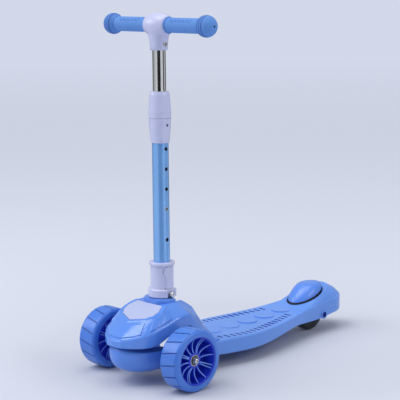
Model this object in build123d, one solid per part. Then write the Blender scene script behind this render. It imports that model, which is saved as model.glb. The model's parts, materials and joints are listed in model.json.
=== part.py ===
from build123d import *
import os
from math import copysign, cos, pi, radians, sin, sqrt

os.makedirs("parts", exist_ok=True)

# Three-wheeled kick scooter for a small child, in millimetres.
# Work frame: x = 0 on the mid-plane and +X on the rider's left, y = 0 on the front axle and +Y
# rearwards, z = 0 on the floor. Every node is moved to the centre of the length when it is written.

# ------------------------------------------------------------------ clearances
FIT_GAP = 0.05          # a shaft in its hole, or a piece seated in a bore
SEAT_GAP = 0.1          # plugs and shells that seat on one another
BODY_GAP = 0.35         # pieces that move past each other
RUN_GAP = 1.5           # open running space beside wheels and levers

# ------------------------------------------------------------------ overall
NOSE_Y = -90.5          # front of the hood
TAIL_Y = 566.5          # rear end of the tail
CENTRE_Y = (NOSE_Y + TAIL_Y) / 2

# ------------------------------------------------------------------ front wheels
WHEEL_R = 60.0
WHEEL_WIDTH = 45.0
WHEEL_INNER_X = 94.0    # inner face of each front wheel
TYRE_BORE_R = 47.0
TYRE_SHOULDER = 7.0
TREAD_GROOVES = 16
TREAD_DEPTH = 1.6
TREAD_WIDTH = 2.6
TREAD_SLANT = 12.0      # degrees
RIM_WALL = 3.0
RIM_SIDE_INSET = 1.0    # rim edge behind the tyre's side
HUB_R = 15.0
HUB_RECESS = 9.5        # hub face behind the wheel's outer face
HUB_INNER_INSET = 3.0
SPOKE_PAIRS = 8
SPOKE_SPREAD = 8.0      # half the angle between the two spokes of a pair
SPOKE_THICK = 2.2
DISH_THICK = 3.0
DISH_OFFSET = -10.0     # dish plane from the wheel's middle, towards the scooter

# ------------------------------------------------------------------ bearings and axles
BEARING_R = 11.0
BEARING_BORE_R = 4.0
BEARING_WIDTH = 7.0
BEARING_STEP_R = 9.0    # shoulder between the two bearings
AXLE_R = 4.0
SPACER_R = 6.0
AXLE_HEAD_R = 5.8
AXLE_HEAD = 6.0
AXLE_WASHER_R = 6.4
WASHER = 1.5
AXLE_NUT = 6.5
AXLE_TAIL = 3.0         # thread beyond the nut

# ------------------------------------------------------------------ steering bracket
BRACKET_BOTTOM_Z = 24.0
BRACKET_TOP_Z = 68.0
BRACKET_HALF_WIDTH = 57.0
BRACKET_NOSE = 86.0
BRACKET_REAR_Y = 20.0
BRACKET_REAR_TOP_Z = 58.0
BRACKET_WALL = 4.0
BRACKET_ROUNDING = 2.9  # how squarely the sides turn under
BRACKET_KEEL_Z = 20.0   # where the rounded sides would meet
BRACKET_SECTIONS = 5
AXLE_BOSS_R = 13.0
AXLE_BOSS_INNER_X = 50.0
AXLE_BOSS_OUTER_X = 92.0

# ------------------------------------------------------------------ lean pivot
LEAN_Y = 10.0
LEAN_Z = 62.0
LEAN_ANGLE = 60.0       # pivot axis above the horizontal, upper end forwards
LEAN_BOLT_R = 5.0
LEAN_SLEEVE_R = 7.0
LEAN_BUSH_R = 9.0
LEAN_BOSS_R = 15.0
LEAN_BOSS_LOW = -30.0   # along the pivot axis from the pivot point
LEAN_BOSS_HIGH = 11.0
THRUST_WASHER = 1.6
LEAN_WASHER_R = 13.5
LEAN_POCKET_R = 20.0    # room above the boss for the frame's block
LEAN_HEAD_R = 8.0
LEAN_HEAD = 6.0
LEAN_NUT = 8.0
PIVOT_BLOCK_LENGTH = 22.4
PIVOT_BLOCK_HALF = 11.0

# ------------------------------------------------------------------ stem and fold pivot
STEM_Y = 41.0
PIVOT_Z = 162.5
FOLD_BOLT_R = 4.0
LUG_INNER_X = 15.0
LUG_THICK = 4.0
LUG_R = 11.0
KNUCKLE_R = 10.5
KNUCKLE_DISC_Z = 175.5
KNUCKLE_DISC = 3.0
PLUG_TOP_Z = 220.0
FRAME_FOOT_Y = 190.0
FRAME_FOOT_Z = 36.0
FRAME_FOOT_TOP_Z = 50.0
FRAME_PLATE = 3.0
FRAME_SCREW_R = 2.5
FRAME_SCREW_HEAD_R = 4.5
FRAME_SCREW_X = 8.0
FRAME_SCREW_YS = (130.0, 178.0)

OUTER_TUBE_R = 16.0
TUBE_WALL = 1.5
OUTER_TUBE_TOP_Z = 502.5
INNER_TUBE_R = 12.7
INNER_TUBE_BOTTOM_Z = 287.0
PIN_HOLE_R = 2.75
PIN_HOLE_TOP_Z = 447.0
PIN_HOLE_PITCH = 39.0
PIN_HOLE_COUNT = 4
PIN_HOLE_LOW_Z = 269.8
PIN_R = 2.6
PIN_SHANK = 6.0
PIN_TRAVEL = 3.0
PIN_LEAF = 0.8
RIVET_R = 3.0
RIVET_Z = 200.0
BUSH_LENGTH = 16.0

SLEEVE_BOTTOM_Z = 157.3
SLEEVE_COLLAR_Z = 173.5
SLEEVE_FLANGE_Z = 218.0
SLEEVE_TOP_Z = 225.5
SLEEVE_R = 22.5
SLEEVE_COLLAR_R = 27.5
SLEEVE_FLANGE_R = 25.0
SLEEVE_CAVITY_X = 20.4
HORN_X = 22.6           # outside of the collar where the lever's legs lie beside it

LEVER_LEG_R = 9.5
LEVER_LEG_OUTER_X = 27.3
LEVER_SHELL_R = 17.8
LEVER_TOP_Z = 217.3
LEVER_SWING = 7.0       # degrees the lever can open before it meets the collar
LEVER_SPRING_POCKET_R = 7.2
LEVER_SPRING_POCKET = 2.9
LEVER_SPRING_R = 5.4
LEVER_SPRING_WIRE_R = 0.55
LEVER_SPRING_TURNS = 1.5
FOLD_HEAD_R = 6.0
FOLD_HEAD = 4.0
FOLD_NUT = 5.0

# ------------------------------------------------------------------ stem collar
COLLAR_BOTTOM_Z = 458.5
COLLAR_SPLIT_Z = 505.6
COLLAR_TOP_Z = 556.5
COLLAR_BOTTOM_R = 17.8
COLLAR_MID_R = 21.3
COLLAR_TOP_R = 18.6
SPIGOT_R = 17.4
SPIGOT_TOP_Z = 522.0
COLLET_R = 14.4
COLLET_BOTTOM_Z = 472.0
COLLET_TOP_Z = 550.2
COLLAR_SCREW_Z = 492.8
COLLAR_SCREW_R = 2.7
COLLAR_SCREW_LENGTH = 2.2

# ------------------------------------------------------------------ handlebar
TEE_BOTTOM_Z = 634.8
BAR_Z = 682.0
TEE_BOTTOM_R = 16.5
TEE_WAIST_R = 17.3
TEE_WAIST_Z = 652.0
TEE_SHOULDER_R = 20.5
TEE_SHOULDER_Z = 670.0
HUB_CROWN_R = 24.0
HUB_END_R = 21.0
HUB_HALF = 27.0
BAR_R = 9.5
BAR_HALF = 133.0
TEE_BOLT_Z = 646.2
TEE_BOLT_R = 2.5
TEE_BOLT_HEAD_R = 5.5
TEE_BOLT_HEAD = 3.0
TEE_BOLT_SEAT_X = 15.6
TEE_NUT_R = 4.6
TEE_NUT = 3.5
GRIP_R = 14.25
GRIP_FLANGE_R = 16.0
GRIP_FLANGE = 3.0
GRIP_BALL_R = 20.5
GRIP_BALL_X = 127.0
GRIP_RINGS = 3
GRIP_RING_PITCH = 3.5
GRIP_RING_R = 0.8
GRIP_VENT_R = 1.2
GRIP_VENT_DEPTH = 6.0

# ------------------------------------------------------------------ deck
DECK_FRONT_Y = 118.0
DECK_WALL = 3.5
DECK_FRONT_HALF = 62.0
DECK_MAX_HALF = 79.0
DECK_MAX_Y = 222.0
DECK_WAIST_HALF = 61.0
DECK_WAIST_Y = 362.0
DECK_TOP_Z = 58.0
DECK_MID_TOP_Z = 56.8
DECK_TAIL_TOP_Z = 60.0
DECK_BOTTOM_Z = 31.0
DECK_MID_BOTTOM_Z = 27.5
TAIL_BOTTOM_Z = 33.0
TAIL_END_BOTTOM_Z = 46.0
DECK_WAIST_BOTTOM_Z = 37.0
DECK_EDGE_ROUND = 4.0
RIB_THICK = 2.5
CROSS_RIB_YS = (212.0, 258.0, 304.0, 350.0, 396.0)
LONG_RIB_X = 27.0
RIB_DEPTH_INSET = 4.0
PAD_HEIGHT = 1.2
GROOVE_DEPTH = 1.6
GROOVE_WIDTH = 5.0
GROOVE_LENGTH = 17.0
GROOVE_PITCH = 13.6
GROOVE_COUNT = 17
GROOVE_FIRST_Y = 155.0
GROOVE_LAST_Y = GROOVE_FIRST_Y + GROOVE_PITCH * (GROOVE_COUNT - 1)
GROOVE_MAX_X = 62.0
GROOVE_DRAW_IN_AFT = 26.0
GROOVE_DRAW_IN_FORE = 16.0
DISC_R = 21.0
DISC_PITCH = 54.5
DISC_COUNT = 5
DISC_FIRST_Y = 175.5

# ------------------------------------------------------------------ tail and brake
REAR_Y = 482.0
REAR_WHEEL_R = 40.0
REAR_WHEEL_WIDTH = 24.0
REAR_CORE_R = 27.0
REAR_SHOULDER = 5.0
TAIL_HALF = 46.5
TAIL_SHELL_FRONT_Y = 392.0
TAIL_WALL_TOP_Z = 75.5
TAIL_SQUARENESS = 2.8   # 2 is a plain ellipse
TAIL_RIM_FRONT = (421.0, 63.0)
TAIL_RIM_REAR = (534.0, 97.0)
TAIL_BULGE_IN = 0.42     # the ring between wall and rim: its share of the way inwards
TAIL_BULGE_UP = 0.55     # and upwards
SLOT_Y = 472.0
SLOT_HALF = 34.0
SLOT_HALF_LENGTH = 46.0
SLOT_RIM = 4.0          # width of the rim round the slot
SLOT_FRONT_Z = 64.3
SLOT_SLOPE = 0.30       # rise of the slot's plane per mm rearwards
PEDAL_GAP = 3.0
PEDAL_SKIRT = 8.0
PEDAL_SHOULDER = 3.0
PEDAL_SWELL_HALF = 28.0
PEDAL_SWELL_FRONT = (441.0, 84.5)
PEDAL_SWELL_REAR = (514.0, 100.0)
PEDAL_TOP_Z = 104.0
PEDAL_TOP_HALF = 22.0
PEDAL_TOP_FRONT = (459.0, 101.2)
PEDAL_TOP_REAR = (511.0, PEDAL_TOP_Z)
PEDAL_WALL = 3.0
HINGE_Y = 421.0
HINGE_Z = 54.0
HINGE_PIN_R = 3.0
HINGE_LUG_X = 23.0
HINGE_LUG_THICK = 4.0
HINGE_LUG_HALF = 8.0
PEDAL_ARM_X = 14.0
PEDAL_ARM_THICK = 5.0
PEDAL_ARM_R = 4.8
SHOE_GAP = 4.0
SHOE_THICK = 1.8
SHOE_HALF_WIDTH = 9.0
SHOE_HALF_LENGTH = 13.0
SHOE_SCREW_R = 1.5
BRAKE_SPRING_R = 4.4
BRAKE_SPRING_WIRE_R = 0.6
BRAKE_SPRING_HALF = 5.0
AXLE_BOSS_SIDE_R = 9.0
AXLE_BOSS_SIDE_X = 48.5
AXLE_SINK_R = 6.3
AXLE_SINK_X = 38.0
AXLE_BOSS_END_X = 26.0
REAR_HEAD_R = 6.0
REAR_HEAD = 5.0

# ------------------------------------------------------------------ hood and cap
HOOD_WALL = 3.0
HOOD_REAR_Y = 146.0
RIM_Z = 79.5            # lower edge of the rim at the nose
HOOD_BAND_STEP = 2.5    # the rim band stands this far outside the faceted top
NECK_RING_Z = 150.0
NECK_RING_TOP_Z = 155.8
NECK_RING_Y = 40.0
NECK_RING_HALF = 34.5
NECK_RING_HALF_LENGTH = 37.0
SADDLE_HALF = 29.6
SADDLE_FLOOR_Z = 129.0
SADDLE_FRONT_Y = 44.0
CAP_REAR_Y = 8.0
CAP_REAR_Z = 147.0
CAP_SLOPE = 0.42        # fall of the cap's plane per mm forwards
CAP_THICK = 3.0
CAP_PROUD = 1.2
HOOD_SCREW_R = 2.0
HOOD_SCREW_X = 38.0
HOOD_SCREW_Y = 131.0
HOOD_BOSS_R = 4.5

FROM_BOTTOM = (Align.CENTER, Align.CENTER, Align.MIN)


# ------------------------------------------------------------------ helpers
def rod(radius, start, end):
    """Solid cylinder between two centres."""
    base = Vector(*start)
    reach = Vector(*end) - base
    return Plane(origin=base, z_dir=reach) * Cylinder(radius, reach.length, align=FROM_BOTTOM)


def tube(outer, inner, start, end):
    """Hollow cylinder between two centres."""
    return rod(outer, start, end) - rod(inner, start, end)


def x_rod(radius, x0, x1, y, z):
    """Solid cylinder along X."""
    return rod(radius, (x0, y, z), (x1, y, z))


def x_tube(outer, inner, x0, x1, y, z):
    """Hollow cylinder along X."""
    return tube(outer, inner, (x0, y, z), (x1, y, z))


def z_rod(radius, z0, z1, x=0.0, y=STEM_Y):
    """Solid cylinder along Z, on the stem's axis unless placed."""
    return rod(radius, (x, y, z0), (x, y, z1))


def z_tube(outer, inner, z0, z1, x=0.0, y=STEM_Y):
    """Hollow cylinder along Z."""
    return tube(outer, inner, (x, y, z0), (x, y, z1))


def block(x0, x1, y0, y1, z0, z1):
    """Box between its limits."""
    centre = Pos((x0 + x1) / 2, (y0 + y1) / 2, (z0 + z1) / 2)
    return centre * Box(x1 - x0, y1 - y0, z1 - z0)


def hexagon_nut(across, x0, x1, y, z, bore):
    """Hexagonal nut along X, from corner radius and bore."""
    face = Plane(origin=(x0, y, z), z_dir=(1, 0, 0)) * (RegularPolygon(across, 6,
                                                                       rotation=30) - Circle(bore))
    return extrude(face, x1 - x0)


def side_slab(curves, half_width):
    """Solid whose side view, in (y, z), is closed by the curves, centred on the mid-plane."""
    return extrude(make_face(Plane.YZ * Curve(curves)), half_width, both=True)


def plan_slab(curves, z0, z1):
    """Solid whose plan, in (x, y), is closed by the curves."""
    return extrude(Pos(0, 0, z0) * make_face(Curve(curves)), z1 - z0)


def oval(half, half_length, power=2.0):
    """Closed oval face; a power above 2 squares its ends."""
    points = []
    for step in range(24):
        turn = 2 * pi * step / 24
        x = half * copysign(abs(cos(turn)) ** (2 / power), cos(turn))
        y = half_length * copysign(abs(sin(turn)) ** (2 / power), sin(turn))
        points.append((x, y))
    return make_face(Spline(*points, periodic=True))


def both_sides(solid):
    """The solid and its mirror image across the mid-plane."""
    return [solid, mirror(solid, about=Plane.YZ)]


def largest(shape):
    """The one solid of a shape whose cuts left only one."""
    return shape.solids().sort_by(SortBy.VOLUME)[-1]


def write(name, *solids):
    """Write one node, moved so that the model's length is centred on the origin."""
    moved = [Pos(0, -CENTRE_Y, 0) * solid for solid in solids]
    shape = moved[0] if len(moved) == 1 else Compound(moved)
    export_step(shape, f"parts/{name}.step")


# ------------------------------------------------------------------ front wheels
WHEEL_X = WHEEL_INNER_X + WHEEL_WIDTH / 2
WHEEL_OUTER_X = WHEEL_INNER_X + WHEEL_WIDTH
HUB_FACE_X = WHEEL_OUTER_X - HUB_RECESS
HUB_INNER_X = WHEEL_INNER_X + HUB_INNER_INSET


def front_tyre():
    """Wide tyre with slanted cross grooves, for the +X side."""
    ring = Cylinder(WHEEL_R, WHEEL_WIDTH) - Cylinder(TYRE_BORE_R, WHEEL_WIDTH)
    crown = ring.edges().filter_by(GeomType.CIRCLE).sort_by(SortBy.RADIUS)[-2:]
    ring = fillet(crown, TYRE_SHOULDER)
    groove = Pos(WHEEL_R, 0, 0) * Rot(X=TREAD_SLANT) * Box(2 * TREAD_DEPTH, TREAD_WIDTH, 2 * WHEEL_WIDTH)
    ring -= PolarLocations(0, TREAD_GROOVES) * groove
    return Pos(WHEEL_X, 0, WHEEL_R) * Rot(Y=90) * ring


def front_rim():
    """Dished rim with paired spokes between the hub and the barrel, for the +X side."""
    barrel_r = TYRE_BORE_R - FIT_GAP
    barrel = x_tube(barrel_r, barrel_r - RIM_WALL, WHEEL_INNER_X + RIM_SIDE_INSET,
                    WHEEL_OUTER_X - RIM_SIDE_INSET, 0, WHEEL_R)
    dish_x = WHEEL_X + DISH_OFFSET
    dish = x_rod(barrel_r - RIM_WALL / 2, dish_x, dish_x + DISH_THICK, 0, WHEEL_R)
    hub = x_rod(HUB_R, HUB_INNER_X, HUB_FACE_X, 0, WHEEL_R)
    rim = barrel + dish + hub
    length = barrel_r - RIM_WALL / 2
    spoke_face = Polygon((0, dish_x), (length, dish_x), (length, WHEEL_OUTER_X - 2 * RIM_WALL),
                         (HUB_R, HUB_FACE_X - RIM_WALL), (0, HUB_FACE_X - RIM_WALL), align=None)
    spoke = extrude(Plane.XZ * spoke_face, SPOKE_THICK / 2, both=True)
    for pair in range(SPOKE_PAIRS):
        for lean in (-SPOKE_SPREAD, SPOKE_SPREAD):
            turn = Rot(Z=360 * pair / SPOKE_PAIRS + lean)
            rim += Pos(0, 0, WHEEL_R) * Rot(Y=90) * turn * spoke
    rim -= x_rod(BEARING_STEP_R, HUB_INNER_X, HUB_FACE_X, 0, WHEEL_R)
    seat = BEARING_R + FIT_GAP / 2
    rim -= x_rod(seat, HUB_FACE_X - BEARING_WIDTH, HUB_FACE_X, 0, WHEEL_R)
    rim -= x_rod(seat, HUB_INNER_X, HUB_INNER_X + BEARING_WIDTH, 0, WHEEL_R)
    return rim


def bearing(x0, y, z):
    """Ball bearing on an axle along X, with a shallow shield groove in each face."""
    ring = x_tube(BEARING_R, BEARING_BORE_R + FIT_GAP, x0, x0 + BEARING_WIDTH, y, z)
    shield_outer = BEARING_R - 2
    shield_inner = BEARING_BORE_R + 2
    depth = 0.5
    ring -= x_tube(shield_outer, shield_inner, x0, x0 + depth, y, z)
    ring -= x_tube(shield_outer, shield_inner, x0 + BEARING_WIDTH - depth, x0 + BEARING_WIDTH, y, z)
    return ring


def domed_bolt(radius, length, head_r, head, x_seat, y, z, hex_r):
    """Bolt along X with its domed head outside x_seat and a hexagon socket in the head."""
    bolt = x_rod(radius, x_seat - length, x_seat, y, z)
    cap = x_rod(head_r, x_seat, x_seat + head, y, z)
    cap = fillet(cap.edges().sort_by(Axis.X)[-1], head * 0.6)
    socket = Plane(origin=(x_seat + head / 2, y, z), z_dir=(1, 0, 0)) * RegularPolygon(hex_r, 6)
    return bolt + cap - extrude(socket, head)


left_tyre = front_tyre()
left_rim = front_rim()
outer_bearing = bearing(HUB_FACE_X - BEARING_WIDTH, 0, WHEEL_R)
inner_bearing = bearing(HUB_INNER_X, 0, WHEEL_R)
for side, turn in (("left", lambda s: s), ("right", lambda s: mirror(s, about=Plane.YZ))):
    write(f"front_tyre_{side}", turn(left_tyre))
    write(f"front_rim_{side}", turn(left_rim))
    write(f"front_bearings_{side}", turn(outer_bearing), turn(inner_bearing))

front_spacer = x_tube(SPACER_R, AXLE_R + FIT_GAP, HUB_INNER_X + BEARING_WIDTH,
                      HUB_FACE_X - BEARING_WIDTH, 0, WHEEL_R)
write("front_axle_spacers", *both_sides(front_spacer))
axle_seat_x = HUB_FACE_X + WASHER
axle_length = axle_seat_x - AXLE_BOSS_INNER_X + AXLE_NUT + AXLE_TAIL
front_bolt = domed_bolt(AXLE_R, axle_length, AXLE_HEAD_R, AXLE_HEAD, axle_seat_x, 0, WHEEL_R, AXLE_R * 0.8)
write("front_axle_bolts", *both_sides(front_bolt))
front_washer = x_tube(AXLE_WASHER_R, AXLE_R + FIT_GAP, HUB_FACE_X, axle_seat_x, 0, WHEEL_R)
write("front_axle_washers", *both_sides(front_washer))
front_nut = hexagon_nut(AXLE_HEAD_R + 1, AXLE_BOSS_INNER_X - AXLE_NUT, AXLE_BOSS_INNER_X, 0, WHEEL_R,
                        AXLE_R + FIT_GAP)
write("front_axle_nuts", *both_sides(front_nut))


# ------------------------------------------------------------------ steering bracket and lean pivot
LEAN_UP = (0, -cos(radians(LEAN_ANGLE)), sin(radians(LEAN_ANGLE)))


def lean_point(s):
    """Point on the lean axis, s mm up from the pivot point."""
    return (0, LEAN_Y + LEAN_UP[1] * s, LEAN_Z + LEAN_UP[2] * s)


def bracket_section(z, inset):
    """Boat-shaped plan of the bracket at one height: a half ellipse closed by a straight rear."""
    drop = max(0.0, (BRACKET_TOP_Z - z) / (BRACKET_TOP_Z - BRACKET_KEEL_Z))
    scale = (1 - drop ** BRACKET_ROUNDING) ** (1 / BRACKET_ROUNDING)
    half = BRACKET_HALF_WIDTH * scale - inset
    nose = BRACKET_NOSE * scale - inset
    rear = BRACKET_REAR_Y
    front = EllipticalCenterArc((0, 0), half, nose, start_angle=180, arc_size=180)
    edges = [front, Line((half, 0), (half, rear)), Line((half, rear), (-half, rear)),
             Line((-half, rear), (-half, 0))]
    return Pos(0, 0, z) * make_face(Curve(edges))


def bracket_blank(inset, top_z):
    """Outside, or with an inset the hollow, of the steering bracket."""
    rise = top_z - BRACKET_BOTTOM_Z
    heights = [BRACKET_BOTTOM_Z + rise * (step / BRACKET_SECTIONS) ** 1.6 for step in range(BRACKET_SECTIONS + 1)]
    return loft([bracket_section(z, inset) for z in heights], ruled=True)


def steering_bracket():
    """Moulded bracket under the hood that carries both front axles and tilts about the lean pivot."""
    rear_slope = Polygon((-4, BRACKET_TOP_Z), (BRACKET_REAR_Y, BRACKET_REAR_TOP_Z), (BRACKET_REAR_Y, 0),
                         (-100, 0),
                         (-100, BRACKET_TOP_Z), align=None)
    shell = bracket_blank(0, BRACKET_TOP_Z) & extrude(Plane.YZ * rear_slope, WHEEL_OUTER_X, both=True)
    hollow = bracket_blank(BRACKET_WALL, BRACKET_TOP_Z - BRACKET_WALL)
    hollow &= block(-WHEEL_OUTER_X, WHEEL_OUTER_X, -WHEEL_OUTER_X, BRACKET_REAR_Y - BRACKET_WALL, 0,
                    BRACKET_TOP_Z)
    hollow &= Pos(0, 0, -BRACKET_WALL) * extrude(Plane.YZ * rear_slope, WHEEL_OUTER_X, both=True)
    bracket = shell - hollow
    rib_x = AXLE_BOSS_INNER_X / 2
    for x in (-rib_x, rib_x):
        web = block(x - RIB_THICK / 2, x + RIB_THICK / 2, -BRACKET_NOSE, BRACKET_REAR_Y, 0, BRACKET_TOP_Z)
        bracket += shell & web
    bracket += rod(LEAN_BOSS_R, lean_point(LEAN_BOSS_LOW), lean_point(LEAN_BOSS_HIGH))
    bracket += shell & rod(LEAN_POCKET_R + BRACKET_WALL, lean_point(0), lean_point(LEAN_BOSS_HIGH))
    for sign in (-1, 1):
        bracket += x_rod(AXLE_BOSS_R, sign * AXLE_BOSS_INNER_X, sign * AXLE_BOSS_OUTER_X, 0, WHEEL_R)
        bracket += x_rod(SPACER_R, sign * AXLE_BOSS_OUTER_X, sign * HUB_INNER_X, 0, WHEEL_R)
    for sign in (-1, 1):
        bracket -= x_rod(AXLE_R + FIT_GAP, sign * (AXLE_BOSS_INNER_X - AXLE_NUT - AXLE_TAIL),
                         sign * HUB_INNER_X, 0, WHEEL_R)
        nut_clear = AXLE_HEAD_R + RUN_GAP
        bracket -= x_rod(nut_clear, sign * (AXLE_BOSS_INNER_X - 2 * AXLE_NUT), sign * AXLE_BOSS_INNER_X, 0,
                         WHEEL_R)
    bracket -= rod(LEAN_BUSH_R + FIT_GAP, lean_point(LEAN_BOSS_LOW), lean_point(LEAN_BOSS_HIGH))
    bracket -= rod(LEAN_BOSS_R, lean_point(2 * LEAN_BOSS_LOW), lean_point(LEAN_BOSS_LOW))
    bracket -= rod(LEAN_POCKET_R, lean_point(LEAN_BOSS_HIGH), lean_point(3 * LEAN_BOSS_HIGH))
    return largest(bracket)


write("steering_bracket", steering_bracket())
sleeve_low = LEAN_BOSS_LOW - 0.5
sleeve_high = LEAN_BOSS_HIGH + THRUST_WASHER
write("lean_rubber_bush", tube(LEAN_BUSH_R, LEAN_SLEEVE_R + FIT_GAP, lean_point(LEAN_BOSS_LOW + 1),
                               lean_point(LEAN_BOSS_HIGH - 1)))
write("lean_inner_sleeve", tube(LEAN_SLEEVE_R, LEAN_BOLT_R + FIT_GAP, lean_point(sleeve_low),
                                lean_point(sleeve_high)))
write("lean_thrust_washer", tube(LEAN_WASHER_R, LEAN_SLEEVE_R + SEAT_GAP, lean_point(LEAN_BOSS_HIGH),
                                 lean_point(sleeve_high)))
block_top = sleeve_high + PIVOT_BLOCK_LENGTH
lower_washer = tube(LEAN_WASHER_R, LEAN_BOLT_R + FIT_GAP, lean_point(sleeve_low - WASHER),
                    lean_point(sleeve_low))
upper_washer = tube(LEAN_HEAD_R + 1, LEAN_BOLT_R + FIT_GAP, lean_point(block_top),
                    lean_point(block_top + WASHER))
write("lean_bolt_washers", lower_washer, upper_washer)
bolt_foot = sleeve_low - WASHER
bolt_tip = block_top + WASHER + LEAN_NUT + RUN_GAP
lean_bolt = rod(LEAN_BOLT_R, lean_point(bolt_foot), lean_point(bolt_tip))
lean_bolt += rod(LEAN_HEAD_R, lean_point(bolt_foot - LEAN_HEAD), lean_point(bolt_foot))
write("lean_pivot_bolt", lean_bolt)
nut_plane = Plane(origin=lean_point(block_top + WASHER), z_dir=LEAN_UP)
nut_face = nut_plane * (RegularPolygon(LEAN_HEAD_R, 6) - Circle(LEAN_BOLT_R + FIT_GAP))
write("lean_pivot_nut", extrude(nut_face, LEAN_NUT))


# ------------------------------------------------------------------ neck frame
def neck_frame():
    """Welded steel frame: two side plates from the deck to the fold pivot, with the lean pivot block."""
    lug_front = STEM_Y - LUG_R
    lug_rear = STEM_Y + LUG_R
    throat_z = SADDLE_FLOOR_Z - HOOD_WALL - 4
    outline = Polygon(
        (-17, 87), (-10, 77), (60, 76), (106, FRAME_FOOT_Z + 12), (112, FRAME_FOOT_Z),
        (FRAME_FOOT_Y, FRAME_FOOT_Z), (FRAME_FOOT_Y, FRAME_FOOT_TOP_Z), (124, FRAME_FOOT_TOP_Z),
        (92, 104), (66, throat_z), (lug_rear, throat_z), (lug_rear, PIVOT_Z), (lug_front, PIVOT_Z),
        (lug_front, 132), (-5, 100), align=None)
    plate = Plane.YZ * outline
    plate = extrude(plate, LUG_THICK) + x_rod(LUG_R, 0, LUG_THICK, STEM_Y, PIVOT_Z)
    frame = Pos(LUG_INNER_X, 0, 0) * plate + Pos(-LUG_INNER_X - LUG_THICK, 0, 0) * plate
    low = lean_point(sleeve_high)
    pivot_block = Plane(origin=low, x_dir=(1, 0, 0), z_dir=LEAN_UP) * Box(
        2 * LUG_INNER_X, 2 * PIVOT_BLOCK_HALF, PIVOT_BLOCK_LENGTH, align=FROM_BOTTOM)
    frame += pivot_block
    seat_top = PIVOT_Z - KNUCKLE_R - BODY_GAP
    frame += block(-LUG_INNER_X, LUG_INNER_X, lug_front, lug_rear, seat_top - 6, seat_top)
    frame += block(-LUG_INNER_X, LUG_INNER_X, 112, FRAME_FOOT_Y, FRAME_FOOT_Z, FRAME_FOOT_Z + FRAME_PLATE)
    frame += block(-LUG_INNER_X, LUG_INNER_X, 60, 64, 84, throat_z)
    frame -= x_rod(FOLD_BOLT_R + FIT_GAP, -LUG_INNER_X - LUG_THICK, LUG_INNER_X + LUG_THICK, STEM_Y,
                   PIVOT_Z)
    frame -= rod(LEAN_BOLT_R + FIT_GAP, lean_point(sleeve_high), lean_point(block_top))
    for y in FRAME_SCREW_YS:
        for x in (-FRAME_SCREW_X, FRAME_SCREW_X):
            frame -= z_rod(FRAME_SCREW_R + FIT_GAP, FRAME_FOOT_Z, FRAME_FOOT_Z + FRAME_PLATE, x, y)
    return frame


write("neck_frame", neck_frame())
FRAME_SCREW_TOP_Z = DECK_MID_TOP_Z - DECK_WALL
frame_screws = []
for screw_y in FRAME_SCREW_YS:
    for screw_x in (-FRAME_SCREW_X, FRAME_SCREW_X):
        screw = z_rod(FRAME_SCREW_R, FRAME_FOOT_Z, FRAME_SCREW_TOP_Z - 1, screw_x, screw_y)
        frame_screws.append(screw + z_rod(FRAME_SCREW_HEAD_R, FRAME_FOOT_Z - 3, FRAME_FOOT_Z, screw_x,
                                          screw_y))
write("neck_frame_screws", *frame_screws)


# ------------------------------------------------------------------ fold knuckle, tubes, sleeve, lever
knuckle_half = LUG_INNER_X - BODY_GAP
plug_r = OUTER_TUBE_R - TUBE_WALL - SEAT_GAP
TUBE_BOTTOM_Z = KNUCKLE_DISC_Z + KNUCKLE_DISC
knuckle = x_rod(KNUCKLE_R, -knuckle_half, knuckle_half, STEM_Y, PIVOT_Z)
knuckle_neck = block(-knuckle_half, knuckle_half, STEM_Y - KNUCKLE_R, STEM_Y + KNUCKLE_R, PIVOT_Z,
                     KNUCKLE_DISC_Z)
knuckle += knuckle_neck & z_rod(LEVER_SHELL_R - BODY_GAP, PIVOT_Z, KNUCKLE_DISC_Z)
knuckle += z_rod(OUTER_TUBE_R, KNUCKLE_DISC_Z, TUBE_BOTTOM_Z)
knuckle += z_rod(plug_r, TUBE_BOTTOM_Z, PLUG_TOP_Z)
knuckle -= x_rod(FOLD_BOLT_R + FIT_GAP, -knuckle_half, knuckle_half, STEM_Y, PIVOT_Z)
knuckle -= x_rod(RIVET_R + FIT_GAP, -OUTER_TUBE_R, OUTER_TUBE_R, STEM_Y, RIVET_Z)
write("fold_knuckle", knuckle)
write("knuckle_rivet", x_rod(RIVET_R, -OUTER_TUBE_R, OUTER_TUBE_R, STEM_Y, RIVET_Z))

outer_tube = z_tube(OUTER_TUBE_R, OUTER_TUBE_R - TUBE_WALL, TUBE_BOTTOM_Z, OUTER_TUBE_TOP_Z)
pin_heights = [PIN_HOLE_TOP_Z - PIN_HOLE_PITCH * step for step in range(PIN_HOLE_COUNT)]
pin_z = pin_heights[-1]
for hole_z in pin_heights + [PIN_HOLE_LOW_Z]:
    outer_tube -= x_rod(PIN_HOLE_R, 0, OUTER_TUBE_R + 1, STEM_Y, hole_z)
outer_tube -= x_rod(RIVET_R + FIT_GAP, -OUTER_TUBE_R - 1, OUTER_TUBE_R + 1, STEM_Y, RIVET_Z)
write("outer_tube", outer_tube)


def lever_side(grow):
    """Side view of the fold lever: a wavy front edge from the pivot up to the flange."""
    front = STEM_Y - LEVER_LEG_R - grow
    top = LEVER_TOP_Z + grow
    rear = STEM_Y + SLEEVE_COLLAR_R + 5
    foot_z = PIVOT_Z - LEVER_LEG_R - grow
    wave_z = PIVOT_Z + 2 * LEVER_LEG_R
    wave = Spline((front, wave_z), (front - 0.5, wave_z + 14), (front - 4.5, wave_z + 27),
                  (front + 2, top), tangents=((0, 1), (1, 0.6)))
    edges = [Line((front, foot_z), (front, wave_z)), wave, Line((front + 2, top), (rear, top)),
             Line((rear, top), (rear, foot_z)), Line((rear, foot_z), (front, foot_z))]
    return side_slab(edges, SLEEVE_COLLAR_R + 5)


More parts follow.
